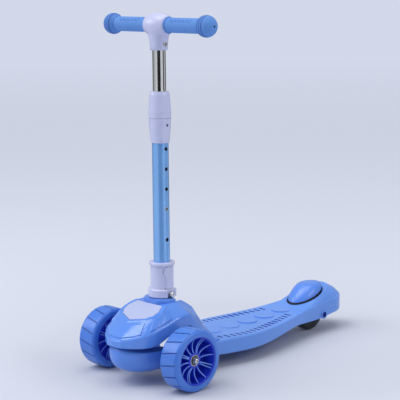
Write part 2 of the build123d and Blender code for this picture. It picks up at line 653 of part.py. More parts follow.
def fold_lever():
    """Yoke round the rear of the sleeve, with a leg on each side that turns on the fold bolt."""
    shell_foot = SLEEVE_COLLAR_Z + BODY_GAP
    shell = z_tube(SLEEVE_R, LEVER_SHELL_R, shell_foot, LEVER_TOP_Z)
    shell -= block(-LEVER_SHELL_R, LEVER_SHELL_R, STEM_Y - SLEEVE_R, STEM_Y, shell_foot, LEVER_TOP_Z)
    inner_x = HORN_X + BODY_GAP
    blend_z = SLEEVE_COLLAR_Z + 12
    leg_face = Polygon(
        (inner_x, PIVOT_Z - LEVER_LEG_R), (LEVER_LEG_OUTER_X, PIVOT_Z - LEVER_LEG_R),
        (LEVER_LEG_OUTER_X, SLEEVE_COLLAR_Z), (SLEEVE_R, blend_z), (LEVER_SHELL_R + 1, blend_z),
        (LEVER_SHELL_R + 1, shell_foot), (inner_x, shell_foot), align=None)
    legs = []
    for leg in both_sides(extrude(Pos(0, STEM_Y, 0) * Plane.XZ * leg_face, LEVER_LEG_R, both=True)):
        legs.append(leg)
    foot = x_rod(LEVER_LEG_R, -SLEEVE_COLLAR_R, SLEEVE_COLLAR_R, STEM_Y, PIVOT_Z)
    upper = block(-SLEEVE_COLLAR_R, SLEEVE_COLLAR_R, 0, 2 * STEM_Y, PIVOT_Z, LEVER_TOP_Z)
    lever = (shell + legs[0] + legs[1]) & (foot + upper)
    lever &= lever_side(0)
    corner = block(-SLEEVE_COLLAR_R, SLEEVE_COLLAR_R, 0, STEM_Y, SLEEVE_COLLAR_Z, LEVER_TOP_Z + 1)
    lever -= corner - x_rod(LEVER_TOP_Z - PIVOT_Z, -SLEEVE_COLLAR_R, SLEEVE_COLLAR_R, STEM_Y, PIVOT_Z)
    for sign in (-1, 1):
        x0, x1 = sorted((sign * (SLEEVE_CAVITY_X - BODY_GAP), sign * inner_x))
        collar_way = block(x0, x1, STEM_Y, 2 * STEM_Y, PIVOT_Z, shell_foot)
        lever -= collar_way.rotate(Axis((0, STEM_Y, PIVOT_Z), (1, 0, 0)), LEVER_SWING)
        lever -= x_rod(FOLD_BOLT_R + FIT_GAP, 0, sign * LEVER_LEG_OUTER_X, STEM_Y, PIVOT_Z)
        lever -= x_rod(LEVER_SPRING_POCKET_R, sign * inner_x, sign * (inner_x + LEVER_SPRING_POCKET),
                       STEM_Y, PIVOT_Z)
    return largest(lever)


def fold_sleeve():
    """Sleeve round the foot of the stem: a finger flange, a waisted body and a bottom collar."""
    sleeve = z_rod(SLEEVE_R, SLEEVE_COLLAR_Z, SLEEVE_FLANGE_Z)
    flange = z_rod(SLEEVE_FLANGE_R, SLEEVE_FLANGE_Z, SLEEVE_TOP_Z)
    sleeve += fillet(flange.edges().filter_by(GeomType.CIRCLE), 2.5)
    collar = z_rod(SLEEVE_COLLAR_R, SLEEVE_BOTTOM_Z, SLEEVE_COLLAR_Z)
    sleeve += chamfer(collar.edges().filter_by(GeomType.CIRCLE).sort_by(Axis.Z)[-1], 2.0)
    sleeve -= z_rod(OUTER_TUBE_R + SEAT_GAP, SLEEVE_BOTTOM_Z, SLEEVE_TOP_Z)
    cavity_front = STEM_Y - LUG_R - 0.5
    sleeve -= block(-SLEEVE_CAVITY_X, SLEEVE_CAVITY_X, cavity_front, 2 * STEM_Y, 0, KNUCKLE_DISC_Z)
    above = block(-SLEEVE_COLLAR_R, SLEEVE_COLLAR_R, 0, 2 * STEM_Y, SLEEVE_COLLAR_Z - 0.01, SLEEVE_TOP_Z)
    beside = []
    for sign in (-1, 1):
        x0, x1 = sorted((sign * HORN_X, sign * (SLEEVE_COLLAR_R + 5)))
        beside.append(block(x0, x1, 0, 2 * STEM_Y, 0, SLEEVE_COLLAR_Z))
    cut = lever_side(BODY_GAP) & (above + beside[0] + beside[1])
    sleeve -= cut
    for sign in (-1, 1):
        sleeve -= x_rod(FOLD_BOLT_R + FIT_GAP, 0, sign * SLEEVE_COLLAR_R, STEM_Y, PIVOT_Z)
    return largest(sleeve)


write("fold_lever", fold_lever())
write("fold_sleeve", fold_sleeve())
fold_seat_x = LEVER_LEG_OUTER_X + BODY_GAP
fold_bolt = domed_bolt(FOLD_BOLT_R, 2 * fold_seat_x + FOLD_NUT + 2, FOLD_HEAD_R, FOLD_HEAD, fold_seat_x,
                       STEM_Y, PIVOT_Z, FOLD_BOLT_R * 0.7)
write("fold_pivot_bolt", fold_bolt)
write("fold_pivot_nut", hexagon_nut(FOLD_HEAD_R + BODY_GAP, -fold_seat_x - FOLD_NUT, -fold_seat_x, STEM_Y,
                                    PIVOT_Z,
                                    FOLD_BOLT_R + FIT_GAP))


def coil(radius, wire_r, pitch, turns, start, direction):
    """Helical wire spring from a start point along a direction."""
    path = Helix(pitch, pitch * turns, radius, center=start, direction=direction)
    section = Plane(origin=path @ 0, z_dir=path % 0) * Circle(wire_r)
    return sweep(section, path)


spring_pitch = 2 * LEVER_SPRING_WIRE_R + 0.15
lever_coil = coil(LEVER_SPRING_R, LEVER_SPRING_WIRE_R, spring_pitch, LEVER_SPRING_TURNS,
                  (HORN_X + BODY_GAP + LEVER_SPRING_WIRE_R, STEM_Y, PIVOT_Z), (1, 0, 0))
write("fold_lever_springs", *both_sides(lever_coil))


# ------------------------------------------------------------------ stem collar
def lathe(points, y=STEM_Y):
    """Solid turned about the stem's axis from (radius, z) points."""
    return Pos(0, y, 0) * revolve(Plane.XZ * Polygon(*points, align=None), Axis.Z)


collar_base = lathe([(OUTER_TUBE_R + FIT_GAP, COLLAR_BOTTOM_Z), (COLLAR_BOTTOM_R, COLLAR_BOTTOM_Z),
                     (COLLAR_MID_R - 0.8, COLLAR_SPLIT_Z - 18), (COLLAR_MID_R, COLLAR_SPLIT_Z),
                     (SPIGOT_R, COLLAR_SPLIT_Z), (SPIGOT_R, SPIGOT_TOP_Z), (COLLET_R + SEAT_GAP,
                                                                            SPIGOT_TOP_Z),
                     (COLLET_R + SEAT_GAP, OUTER_TUBE_TOP_Z), (OUTER_TUBE_R + FIT_GAP, OUTER_TUBE_TOP_Z)])
collar_base -= x_rod(COLLAR_SCREW_R + FIT_GAP, OUTER_TUBE_R, COLLAR_MID_R + 1, STEM_Y, COLLAR_SCREW_Z)
write("collar_base", collar_base)
write("collar_screw", x_rod(COLLAR_SCREW_R, OUTER_TUBE_R + SEAT_GAP, OUTER_TUBE_R + COLLAR_SCREW_LENGTH,
                            STEM_Y, COLLAR_SCREW_Z))
ring_bottom = COLLAR_SPLIT_Z + BODY_GAP
ring_step = SPIGOT_TOP_Z + BODY_GAP
ring_lip = COLLET_TOP_Z + BODY_GAP
collar_ring = lathe([(SPIGOT_R + BODY_GAP, ring_bottom), (COLLAR_MID_R, ring_bottom),
                     (COLLAR_MID_R + 0.2, COLLAR_SPLIT_Z + 12), (COLLAR_TOP_R + 0.6, COLLAR_TOP_Z - 6),
                     (COLLAR_TOP_R - 1, COLLAR_TOP_Z), (INNER_TUBE_R + BODY_GAP, COLLAR_TOP_Z),
                     (INNER_TUBE_R + BODY_GAP, ring_lip), (COLLET_R + BODY_GAP, ring_lip),
                     (COLLET_R + BODY_GAP, ring_step), (SPIGOT_R + BODY_GAP, ring_step)])
write("collar_twist_ring", collar_ring)
collet = z_tube(COLLET_R, INNER_TUBE_R + FIT_GAP, COLLET_BOTTOM_Z, COLLET_TOP_Z)
for slit in range(3):
    cutter = block(0, COLLET_R + 1, -0.6, 0.6, SPIGOT_TOP_Z, COLLET_TOP_Z)
    collet -= Pos(0, STEM_Y, 0) * Rot(Z=120 * slit + 60) * cutter
write("collet", collet)

# ------------------------------------------------------------------ inner tube, height pin, T-joint
INNER_TUBE_TOP_Z = BAR_Z - BAR_R - SEAT_GAP
inner_tube = z_tube(INNER_TUBE_R, INNER_TUBE_R - TUBE_WALL, INNER_TUBE_BOTTOM_Z, INNER_TUBE_TOP_Z)
inner_tube -= x_rod(PIN_R + FIT_GAP, 0, INNER_TUBE_R + 1, STEM_Y, pin_z)
inner_tube -= x_rod(TEE_BOLT_R + FIT_GAP, -INNER_TUBE_R - 1, INNER_TUBE_R + 1, STEM_Y, TEE_BOLT_Z)
write("inner_tube", inner_tube)
bush_bottom = INNER_TUBE_BOTTOM_Z - 3
guide_bush = z_rod(OUTER_TUBE_R - TUBE_WALL - SEAT_GAP, bush_bottom, bush_bottom + BUSH_LENGTH)
guide_bush -= z_rod(INNER_TUBE_R - TUBE_WALL, bush_bottom, bush_bottom + BUSH_LENGTH)
guide_bush -= z_rod(INNER_TUBE_R + FIT_GAP, INNER_TUBE_BOTTOM_Z, bush_bottom + BUSH_LENGTH)
write("inner_tube_guide_bush", guide_bush)

pin_tip_x = OUTER_TUBE_R - TUBE_WALL - BODY_GAP
pin = x_rod(PIN_R, pin_tip_x - PIN_SHANK, pin_tip_x, STEM_Y, pin_z)
pin = fillet(pin.edges().sort_by(Axis.X)[-1], PIN_R * 0.7)
write("height_pin", pin)
leaf_x = pin_tip_x - PIN_SHANK - PIN_LEAF
leaf_height = 30.0
leaf_far_x = -(INNER_TUBE_R - TUBE_WALL) + PIN_TRAVEL + 3 * PIN_LEAF
leaf = block(leaf_x, leaf_x + PIN_LEAF, STEM_Y - PIN_R, STEM_Y + PIN_R, pin_z - 6, pin_z + leaf_height)
leaf += block(leaf_far_x - PIN_LEAF, leaf_far_x, STEM_Y - PIN_R, STEM_Y + PIN_R, pin_z - 6,
              pin_z + leaf_height)
leaf += block(leaf_far_x - PIN_LEAF, leaf_x + PIN_LEAF, STEM_Y - PIN_R, STEM_Y + PIN_R,
              pin_z + leaf_height - PIN_LEAF, pin_z + leaf_height)
write("height_pin_spring", leaf)


def t_joint():
    """Moulded T: a flared socket for the stem under a crowned hub for the handlebar."""
    neck = lathe([(0, TEE_BOTTOM_Z), (TEE_BOTTOM_R, TEE_BOTTOM_Z), (TEE_WAIST_R, TEE_WAIST_Z),
                  (TEE_SHOULDER_R, TEE_SHOULDER_Z), (TEE_SHOULDER_R, BAR_Z), (0, BAR_Z)])
    crown = ThreePointArc((-HUB_HALF, HUB_END_R), (0, HUB_CROWN_R), (HUB_HALF, HUB_END_R))
    edges = [crown, Line((HUB_HALF, HUB_END_R), (HUB_HALF, 0)), Line((HUB_HALF, 0), (-HUB_HALF, 0)),
             Line((-HUB_HALF, 0), (-HUB_HALF, HUB_END_R))]
    hub = revolve(Plane.XZ * make_face(Curve(edges)), Axis.X)
    joint = neck + Pos(0, STEM_Y, BAR_Z) * hub
    joint -= x_rod(BAR_R + FIT_GAP, -HUB_HALF, HUB_HALF, STEM_Y, BAR_Z)
    joint -= z_rod(INNER_TUBE_R + FIT_GAP, TEE_BOTTOM_Z, INNER_TUBE_TOP_Z)
    joint -= x_rod(TEE_BOLT_R + FIT_GAP, -TEE_SHOULDER_R, TEE_SHOULDER_R, STEM_Y, TEE_BOLT_Z)
    joint -= x_rod(TEE_BOLT_HEAD_R + SEAT_GAP, TEE_BOLT_SEAT_X, TEE_SHOULDER_R, STEM_Y, TEE_BOLT_Z)
    joint -= x_rod(TEE_NUT_R + SEAT_GAP, -TEE_SHOULDER_R, -TEE_BOLT_SEAT_X, STEM_Y, TEE_BOLT_Z)
    return joint


write("t_joint", t_joint())
tee_bolt = domed_bolt(TEE_BOLT_R, 2 * TEE_BOLT_SEAT_X + TEE_NUT, TEE_BOLT_HEAD_R, TEE_BOLT_HEAD,
                      TEE_BOLT_SEAT_X, STEM_Y, TEE_BOLT_Z, TEE_BOLT_R * 0.8)
write("t_joint_bolt", tee_bolt)
write("t_joint_nut", hexagon_nut(TEE_NUT_R, -TEE_BOLT_SEAT_X - TEE_NUT, -TEE_BOLT_SEAT_X, STEM_Y,
                                 TEE_BOLT_Z,
                                 TEE_BOLT_R + FIT_GAP))
write("handlebar_tube", x_tube(BAR_R, BAR_R - TUBE_WALL, -BAR_HALF, BAR_HALF, STEM_Y, BAR_Z))


def grip():
    """Rubber grip with a ball end, for the +X side."""
    start = HUB_HALF + SEAT_GAP
    body = x_rod(GRIP_R, start, GRIP_BALL_X, STEM_Y, BAR_Z)
    flange = x_rod(GRIP_FLANGE_R, start, start + GRIP_FLANGE, STEM_Y, BAR_Z)
    body += fillet(flange.edges().filter_by(GeomType.CIRCLE), 1.2)
    body += Pos(GRIP_BALL_X, STEM_Y, BAR_Z) * Sphere(GRIP_BALL_R)
    for ring in range(GRIP_RINGS):
        back = GRIP_RING_PITCH * (ring + 2)
        groove_r = sqrt(GRIP_BALL_R ** 2 - back ** 2)
        body -= Pos(GRIP_BALL_X - back, STEM_Y, BAR_Z) * Rot(Y=90) * Torus(groove_r, GRIP_RING_R)
    body -= x_rod(BAR_R + FIT_GAP, start, BAR_HALF + SEAT_GAP, STEM_Y, BAR_Z)
    end = GRIP_BALL_X + GRIP_BALL_R
    body -= x_rod(GRIP_VENT_R, end - GRIP_VENT_DEPTH, end, STEM_Y, BAR_Z)
    return body


left_grip = grip()
write("grip_left", left_grip)
write("grip_right", mirror(left_grip, about=Plane.YZ))


# ------------------------------------------------------------------ deck with its tail housing
def deck_plan(inset):
    """Plan of the deck: bulged sides that draw in to the round tail."""
    tail_half = TAIL_HALF - inset
    tail_y = TAIL_Y - TAIL_HALF
    front = DECK_FRONT_Y + inset
    side_points = [(DECK_FRONT_HALF - inset, front), (DECK_FRONT_HALF + 8 - inset, 165),
                   (DECK_MAX_HALF - inset, DECK_MAX_Y), (DECK_MAX_HALF - 5 - inset, 290),
                   (DECK_WAIST_HALF - inset, DECK_WAIST_Y), (TAIL_HALF + 4 - inset, 415),
                   (tail_half, REAR_Y - 16)]
    left = Spline(*side_points, tangents=((0.25, 1), (0, 1)))
    left_straight = Line(side_points[-1], (tail_half, tail_y))
    tail = ThreePointArc((tail_half, tail_y), (0, tail_y + tail_half), (-tail_half, tail_y))
    right_points = [(-x, y) for x, y in reversed(side_points)]
    right = Spline(*right_points, tangents=((0, -1), (0.25, -1)))
    right_straight = Line((-tail_half, tail_y), right_points[0])
    front_edge = Line(right_points[-1], side_points[0])
    return [left, left_straight, tail, right_straight, right, front_edge]


def deck_side(top_drop, low_z=None):
    """Side view of the deck; top_drop lowers the top, and low_z replaces the shaped underside."""
    start = DECK_FRONT_Y - 5
    end = TAIL_Y + 5
    top = Spline((DECK_FRONT_Y + 42, DECK_TOP_Z - top_drop), (250, DECK_MID_TOP_Z - top_drop),
                 (350, DECK_TOP_Z - 0.3 - top_drop), (TAIL_SHELL_FRONT_Y, DECK_TAIL_TOP_Z - top_drop),
                 tangents=((1, 0), (1, 0.06)))
    lead = Line((start, DECK_TOP_Z - top_drop), (DECK_FRONT_Y + 42, DECK_TOP_Z - top_drop))
    tail_top = Line((TAIL_SHELL_FRONT_Y, DECK_TAIL_TOP_Z - top_drop), (end, TAIL_WALL_TOP_Z - top_drop))
    if low_z is None:
        low_z = DECK_BOTTOM_Z
        end_z = TAIL_END_BOTTOM_Z
        low = Spline((end, end_z), (REAR_Y + 25, TAIL_BOTTOM_Z + 4.5), (REAR_Y - 30, TAIL_BOTTOM_Z),
                     (DECK_WAIST_Y + 10, DECK_WAIST_BOTTOM_Z), (310, TAIL_BOTTOM_Z - 1), (230,
                                                                                          DECK_MID_BOTTOM_Z),
                     (start, low_z))
    else:
        end_z = low_z
        low = Line((end, end_z), (start, low_z))
    rear = Line((end, TAIL_WALL_TOP_Z - top_drop), (end, end_z))
    front = Line((start, low_z), (start, DECK_TOP_Z - top_drop))
    return [lead, top, tail_top, rear, low, front]


def slot_plane(y, drop=0.0):
    """Plane of the brake slot at y, sloped up to the rear; drop lowers it."""
    z = SLOT_FRONT_Z + SLOT_SLOPE * (y - (SLOT_Y - SLOT_HALF_LENGTH)) - drop
    return Plane(origin=(0, y, z), x_dir=(1, 0, 0), z_dir=(0, -SLOT_SLOPE, 1))


def ring_face(half, front, rear, squareness):
    """Oval face whose front and rear ends lie at the given (y, z) points."""
    length = sqrt((rear[0] - front[0]) ** 2 + (rear[1] - front[1]) ** 2)
    plane = Plane(origin=(0, (front[0] + rear[0]) / 2, (front[1] + rear[1]) / 2), x_dir=(1, 0, 0),
                  z_dir=(0, front[1] - rear[1], rear[0] - front[0]))
    return plane * oval(half, length / 2, squareness)


def mix(a, b, share):
    """Value between a and b."""
    return a + (b - a) * share


def tail_shell(inset):
    """Upper tail housing: it rounds over from the side walls to the sloped rim of the brake slot."""
    wall_half = TAIL_HALF - 0.6 - inset
    wall_front = (TAIL_SHELL_FRONT_Y + inset, DECK_TAIL_TOP_Z - 1.0 - inset)
    wall_rear = (TAIL_Y - 0.6 - inset, TAIL_WALL_TOP_Z - 2.5 - inset * 0.6)
    rim_half = SLOT_HALF + SLOT_RIM - inset * 0.5
    rim_front = (TAIL_RIM_FRONT[0] + inset * 0.5, TAIL_RIM_FRONT[1] - inset)
    rim_rear = (TAIL_RIM_REAR[0] - inset * 0.7, TAIL_RIM_REAR[1] - inset)
    sections = [ring_face(wall_half, (wall_front[0], DECK_TAIL_TOP_Z - 8),
                          (wall_rear[0], DECK_TAIL_TOP_Z - 8),
                          TAIL_SQUARENESS)]
    for inward, upward in ((0.0, 0.0), (TAIL_BULGE_IN, TAIL_BULGE_UP), (1.0, 1.0)):
        front = (mix(wall_front[0], rim_front[0], inward), mix(wall_front[1], rim_front[1], inward))
        rear = (mix(wall_rear[0], rim_rear[0], inward), mix(wall_rear[1], rim_rear[1], upward))
        squareness = mix(TAIL_SQUARENESS, 2.0, inward)
        sections.append(ring_face(mix(wall_half, rim_half, inward), front, rear, squareness))
    return loft(sections, ruled=True)


def deck_top(y):
    """Height of the deck's top surface at y, ahead of the tail housing."""
    stations = [(0, DECK_TOP_Z), (DECK_FRONT_Y + 42, DECK_TOP_Z), (250, DECK_MID_TOP_Z),
                (350, DECK_TOP_Z - 0.3),
                (TAIL_SHELL_FRONT_Y, DECK_TAIL_TOP_Z)]
    for (y0, z0), (y1, z1) in zip(stations, stations[1:]):
        if y <= y1:
            return mix(z0, z1, (y - y0) / (y1 - y0))
    return DECK_TAIL_TOP_Z


def grip_grooves():
    """Cross grooves in a strip along each side of the deck's top."""
    grooves = []
    for index in range(GROOVE_COUNT):
        y = GROOVE_FIRST_Y + GROOVE_PITCH * index
        aft = max(0.0, y - DECK_MAX_Y) / (GROOVE_LAST_Y - DECK_MAX_Y)
        fore = max(0.0, DECK_MAX_Y - y) / (DECK_MAX_Y - GROOVE_FIRST_Y)
        x = GROOVE_MAX_X - GROOVE_DRAW_IN_AFT * aft ** 1.35 - GROOVE_DRAW_IN_FORE * fore ** 2.2
        floor = deck_top(y) - GROOVE_DEPTH
        grooves.extend(both_sides(block(x - GROOVE_LENGTH / 2, x + GROOVE_LENGTH / 2, y - GROOVE_WIDTH / 2,
                                        y + GROOVE_WIDTH / 2, floor, floor + 10)))
    return grooves


def deck():
    """One-piece moulded deck, open underneath, with the tail housing round the rear wheel."""
    body = plan_slab(deck_plan(0), 0, 100) & side_slab(deck_side(0), DECK_MAX_HALF + 5)
    top_edges = body.edges().filter_by(lambda e: e.center().Z > DECK_MID_TOP_Z - 2 and abs(e.center().X) > 30)
    body = fillet(top_edges, DECK_EDGE_ROUND)
    body += tail_shell(0)
    hollow = plan_slab(deck_plan(DECK_WALL), 0, 100) & side_slab(deck_side(DECK_WALL, 0), DECK_MAX_HALF + 5)
    hollow += tail_shell(DECK_WALL)
    hollow_cut = body - hollow
    ribs = []
    for y in CROSS_RIB_YS:
        ribs.append(block(-DECK_MAX_HALF, DECK_MAX_HALF, y - RIB_THICK / 2, y + RIB_THICK / 2,
                          DECK_BOTTOM_Z + RIB_DEPTH_INSET, DECK_TOP_Z - 1))
    for x in (-LONG_RIB_X, LONG_RIB_X):
        ribs.append(block(x - RIB_THICK / 2, x + RIB_THICK / 2, DECK_FRONT_Y, CROSS_RIB_YS[-1],
                          DECK_BOTTOM_Z + RIB_DEPTH_INSET, DECK_TOP_Z - 1))
    for y in FRAME_SCREW_YS:
        for x in (-FRAME_SCREW_X, FRAME_SCREW_X):
            ribs.append(z_rod(2 * FRAME_SCREW_R, FRAME_FOOT_Z + FRAME_PLATE, DECK_TOP_Z - 1, x, y))
    for sign in (-1, 1):
        x0, x1 = sorted((sign * HINGE_LUG_X, sign * (HINGE_LUG_X + HINGE_LUG_THICK)))
        ribs.append(block(x0, x1, HINGE_Y - HINGE_LUG_HALF, HINGE_Y + HINGE_LUG_HALF,
                          HINGE_Z - HINGE_LUG_HALF, 66))
    inside = plan_slab(deck_plan(1), 0, 100) & side_slab(deck_side(1), DECK_MAX_HALF + 5)
    inside += tail_shell(1)
    lattice = ribs[0] + ribs[1:]
    shell = hollow_cut + (inside & lattice)
    shell -= Pos(0, SLOT_Y, HINGE_Z) * extrude(oval(SLOT_HALF, SLOT_HALF_LENGTH), 100, dir=(0, 0, 1))
    for sign in (-1, 1):
        shell += x_rod(AXLE_BOSS_SIDE_R, sign * AXLE_BOSS_END_X, sign * AXLE_BOSS_SIDE_X, REAR_Y,
                       REAR_WHEEL_R)
    for sign in (-1, 1):
        shell -= x_rod(AXLE_R + FIT_GAP, sign * AXLE_BOSS_END_X, sign * AXLE_BOSS_SIDE_X, REAR_Y,
                       REAR_WHEEL_R)
        shell -= x_rod(AXLE_SINK_R, sign * AXLE_SINK_X, sign * AXLE_BOSS_SIDE_X, REAR_Y, REAR_WHEEL_R)
        shell -= x_rod(HINGE_PIN_R + FIT_GAP, sign * HINGE_LUG_X, sign * (HINGE_LUG_X + HINGE_LUG_THICK),
                       HINGE_Y, HINGE_Z)
    mouth_x = LUG_INNER_X + LUG_THICK + 1
    shell -= block(-mouth_x, mouth_x, DECK_FRONT_Y - 5, DECK_FRONT_Y + 8, 0, 2 * DECK_TOP_Z)
    for y in FRAME_SCREW_YS:
        for x in (-FRAME_SCREW_X, FRAME_SCREW_X):
            shell -= z_rod(FRAME_SCREW_R + FIT_GAP, 0, FRAME_SCREW_TOP_Z, x, y)
    for x in (-HOOD_SCREW_X, HOOD_SCREW_X):
        shell -= z_rod(HOOD_SCREW_R + FIT_GAP, 0, DECK_TOP_Z + 1, x, HOOD_SCREW_Y)
    shell -= grip_grooves()
    for index in range(DISC_COUNT):
        y = DISC_FIRST_Y + DISC_PITCH * index
        shell += z_rod(DISC_R, deck_top(y) - 1, deck_top(y) + PAD_HEIGHT, 0, y)
    return largest(shell)


write("deck", deck())

# ------------------------------------------------------------------ rear wheel and axle
rear_tyre = Cylinder(REAR_WHEEL_R, REAR_WHEEL_WIDTH) - Cylinder(REAR_CORE_R, REAR_WHEEL_WIDTH)
rear_crown = rear_tyre.edges().filter_by(GeomType.CIRCLE).sort_by(SortBy.RADIUS)[-2:]
rear_tyre = fillet(rear_crown, REAR_SHOULDER)
write("rear_tyre", Pos(0, REAR_Y, REAR_WHEEL_R) * Rot(Y=90) * rear_tyre)
rear_half = REAR_WHEEL_WIDTH / 2
bearing_out = rear_half - 0.5
core = x_tube(REAR_CORE_R - FIT_GAP, BEARING_STEP_R, -rear_half + 1, rear_half - 1, REAR_Y, REAR_WHEEL_R)
core -= x_tube(REAR_CORE_R - 4, BEARING_R + 3, -rear_half + 1, -rear_half + 7, REAR_Y, REAR_WHEEL_R)
core -= x_tube(REAR_CORE_R - 4, BEARING_R + 3, rear_half - 7, rear_half - 1, REAR_Y, REAR_WHEEL_R)
for sign in (-1, 1):
    core -= x_rod(BEARING_R + FIT_GAP / 2, sign * (bearing_out - BEARING_WIDTH), sign * rear_half,
                  REAR_Y, REAR_WHEEL_R)
write("rear_wheel_core", core)
write("rear_bearings", bearing(bearing_out - BEARING_WIDTH, REAR_Y, REAR_WHEEL_R),
      bearing(-bearing_out, REAR_Y, REAR_WHEEL_R))
middle_half = bearing_out - BEARING_WIDTH
middle_spacer = x_tube(SPACER_R, AXLE_R + FIT_GAP, -middle_half, middle_half, REAR_Y, REAR_WHEEL_R)
side_spacer = x_tube(SPACER_R, AXLE_R + FIT_GAP, bearing_out, AXLE_BOSS_END_X, REAR_Y, REAR_WHEEL_R)
write("rear_axle_spacers", middle_spacer, *both_sides(side_spacer))
rear_bolt = domed_bolt(AXLE_R, 2 * AXLE_SINK_X + AXLE_NUT, REAR_HEAD_R, REAR_HEAD, AXLE_SINK_X, REAR_Y,
                       REAR_WHEEL_R, AXLE_R * 0.7)
write("rear_axle_bolt", rear_bolt)
write("rear_axle_nut", hexagon_nut(REAR_HEAD_R, -AXLE_SINK_X - AXLE_NUT, -AXLE_SINK_X, REAR_Y, REAR_WHEEL_R,
                                   AXLE_R + FIT_GAP))


# ------------------------------------------------------------------ brake
def pedal_blank(inset):
    """Domed oval button that fills the slot; inset gives its hollow."""
    half = SLOT_HALF - PEDAL_GAP - inset
    half_length = SLOT_HALF_LENGTH - PEDAL_GAP - inset
    skirt = slot_plane(SLOT_Y, PEDAL_SKIRT) * oval(half, half_length)
    shoulder = slot_plane(SLOT_Y, -PEDAL_SHOULDER + inset / 2) * oval(half - 1, half_length - 1)
    rings = [skirt, shoulder]
    for ring_half, front, rear in ((PEDAL_SWELL_HALF, PEDAL_SWELL_FRONT, PEDAL_SWELL_REAR),
                                   (PEDAL_TOP_HALF, PEDAL_TOP_FRONT, PEDAL_TOP_REAR)):
        rings.append(ring_face(ring_half - inset / 2, (front[0] + inset / 2, front[1] - inset),
                               (rear[0] - inset, rear[1] - inset), 2.0))
    return loft(rings, ruled=True)


def brake_pedal():
    """Brake button: a domed shell with two hinge arms in front and a block over the wheel."""
    pedal = pedal_blank(0)
    shell = pedal - pedal_blank(PEDAL_WALL)
    shoe_top = REAR_WHEEL_R + SHOE_GAP + SHOE_THICK
    shoe_block = block(-SHOE_HALF_WIDTH, SHOE_HALF_WIDTH, REAR_Y - SHOE_HALF_LENGTH,
                       REAR_Y + SHOE_HALF_LENGTH,
                       REAR_WHEEL_R, PEDAL_TOP_Z)
    shoe_block -= x_rod(shoe_top, -SLOT_HALF, SLOT_HALF, REAR_Y, REAR_WHEEL_R)
    shell += pedal & shoe_block
    arm_front = HINGE_Y
    arm_rear = SLOT_Y - SLOT_HALF_LENGTH + PEDAL_GAP + 14
    for sign in (-1, 1):
        x0, x1 = sorted((sign * PEDAL_ARM_X, sign * (PEDAL_ARM_X + PEDAL_ARM_THICK)))
        arm = block(x0, x1, arm_front, arm_rear, HINGE_Z - PEDAL_ARM_R, HINGE_Z + PEDAL_ARM_R - 1)
        arm += block(x0, x1, arm_rear - 9, arm_rear, HINGE_Z, 64)
        arm += x_rod(PEDAL_ARM_R, x0, x1, HINGE_Y, HINGE_Z)
        shell += arm
        shell -= x_rod(HINGE_PIN_R + FIT_GAP, x0, x1, HINGE_Y, HINGE_Z)
    for y in (REAR_Y - 8, REAR_Y + 8):
        shell -= z_rod(SHOE_SCREW_R + FIT_GAP, REAR_WHEEL_R, PEDAL_TOP_Z - PEDAL_WALL - 1, 0, y)
    return largest(shell)


write("brake_pedal", brake_pedal())
shoe_r = REAR_WHEEL_R + SHOE_GAP
shoe = x_tube(shoe_r + SHOE_THICK, shoe_r, -SHOE_HALF_WIDTH, SHOE_HALF_WIDTH, REAR_Y, REAR_WHEEL_R)
shoe &= block(-SHOE_HALF_WIDTH, SHOE_HALF_WIDTH, REAR_Y - SHOE_HALF_LENGTH, REAR_Y + SHOE_HALF_LENGTH,
              REAR_WHEEL_R, PEDAL_TOP_Z)
for shoe_y in (REAR_Y - 8, REAR_Y + 8):
    shoe -= z_rod(SHOE_SCREW_R + FIT_GAP, REAR_WHEEL_R, PEDAL_TOP_Z, 0, shoe_y)
write("brake_shoe", shoe)
shoe_screws = []
for shoe_y in (REAR_Y - 8, REAR_Y + 8):
    shoe_screws.append(z_rod(SHOE_SCREW_R, REAR_WHEEL_R + shoe_r - 0.2, PEDAL_TOP_Z - PEDAL_WALL - 2, 0,
                             shoe_y))
write("brake_shoe_screws", *shoe_screws)
pin_half = HINGE_LUG_X + HINGE_LUG_THICK
write("brake_hinge_pin", x_rod(HINGE_PIN_R, -pin_half, pin_half, HINGE_Y, HINGE_Z))
brake_pitch = 2 * BRAKE_SPRING_WIRE_R + 0.4
brake_coil = coil(BRAKE_SPRING_R, BRAKE_SPRING_WIRE_R, brake_pitch, 2 * BRAKE_SPRING_HALF / brake_pitch,
                  (-BRAKE_SPRING_HALF, HINGE_Y, HINGE_Z), (1, 0, 0))
write("brake_spring", brake_coil)


# ------------------------------------------------------------------ hood and cap
def hood_outline(inset):
    """Half plan of the hood's rim, from the nose to the rear, as (x, y) points on the +X side."""
    points = [(0, NOSE_Y + inset), (19, -88), (38, -76), (54, -58), (63, -38), (67, -10), (69, 15),
              (68, 50),
              (65, 90), (62, HOOD_REAR_Y - 8)]
    return [points[0]] + [(x - inset, y + inset * 0.7 * (y < -40)) for x, y in points[1:]]


def band_top(y):
    """Height of the band's upper edge at y: it rises rearwards to a shoulder, then falls to the deck."""
    rise = 92.0 + 0.31 * (y - NOSE_Y)
    fall = 128.0 - 1.02 * (y - 54)
    return min(rise, fall, 130.0)


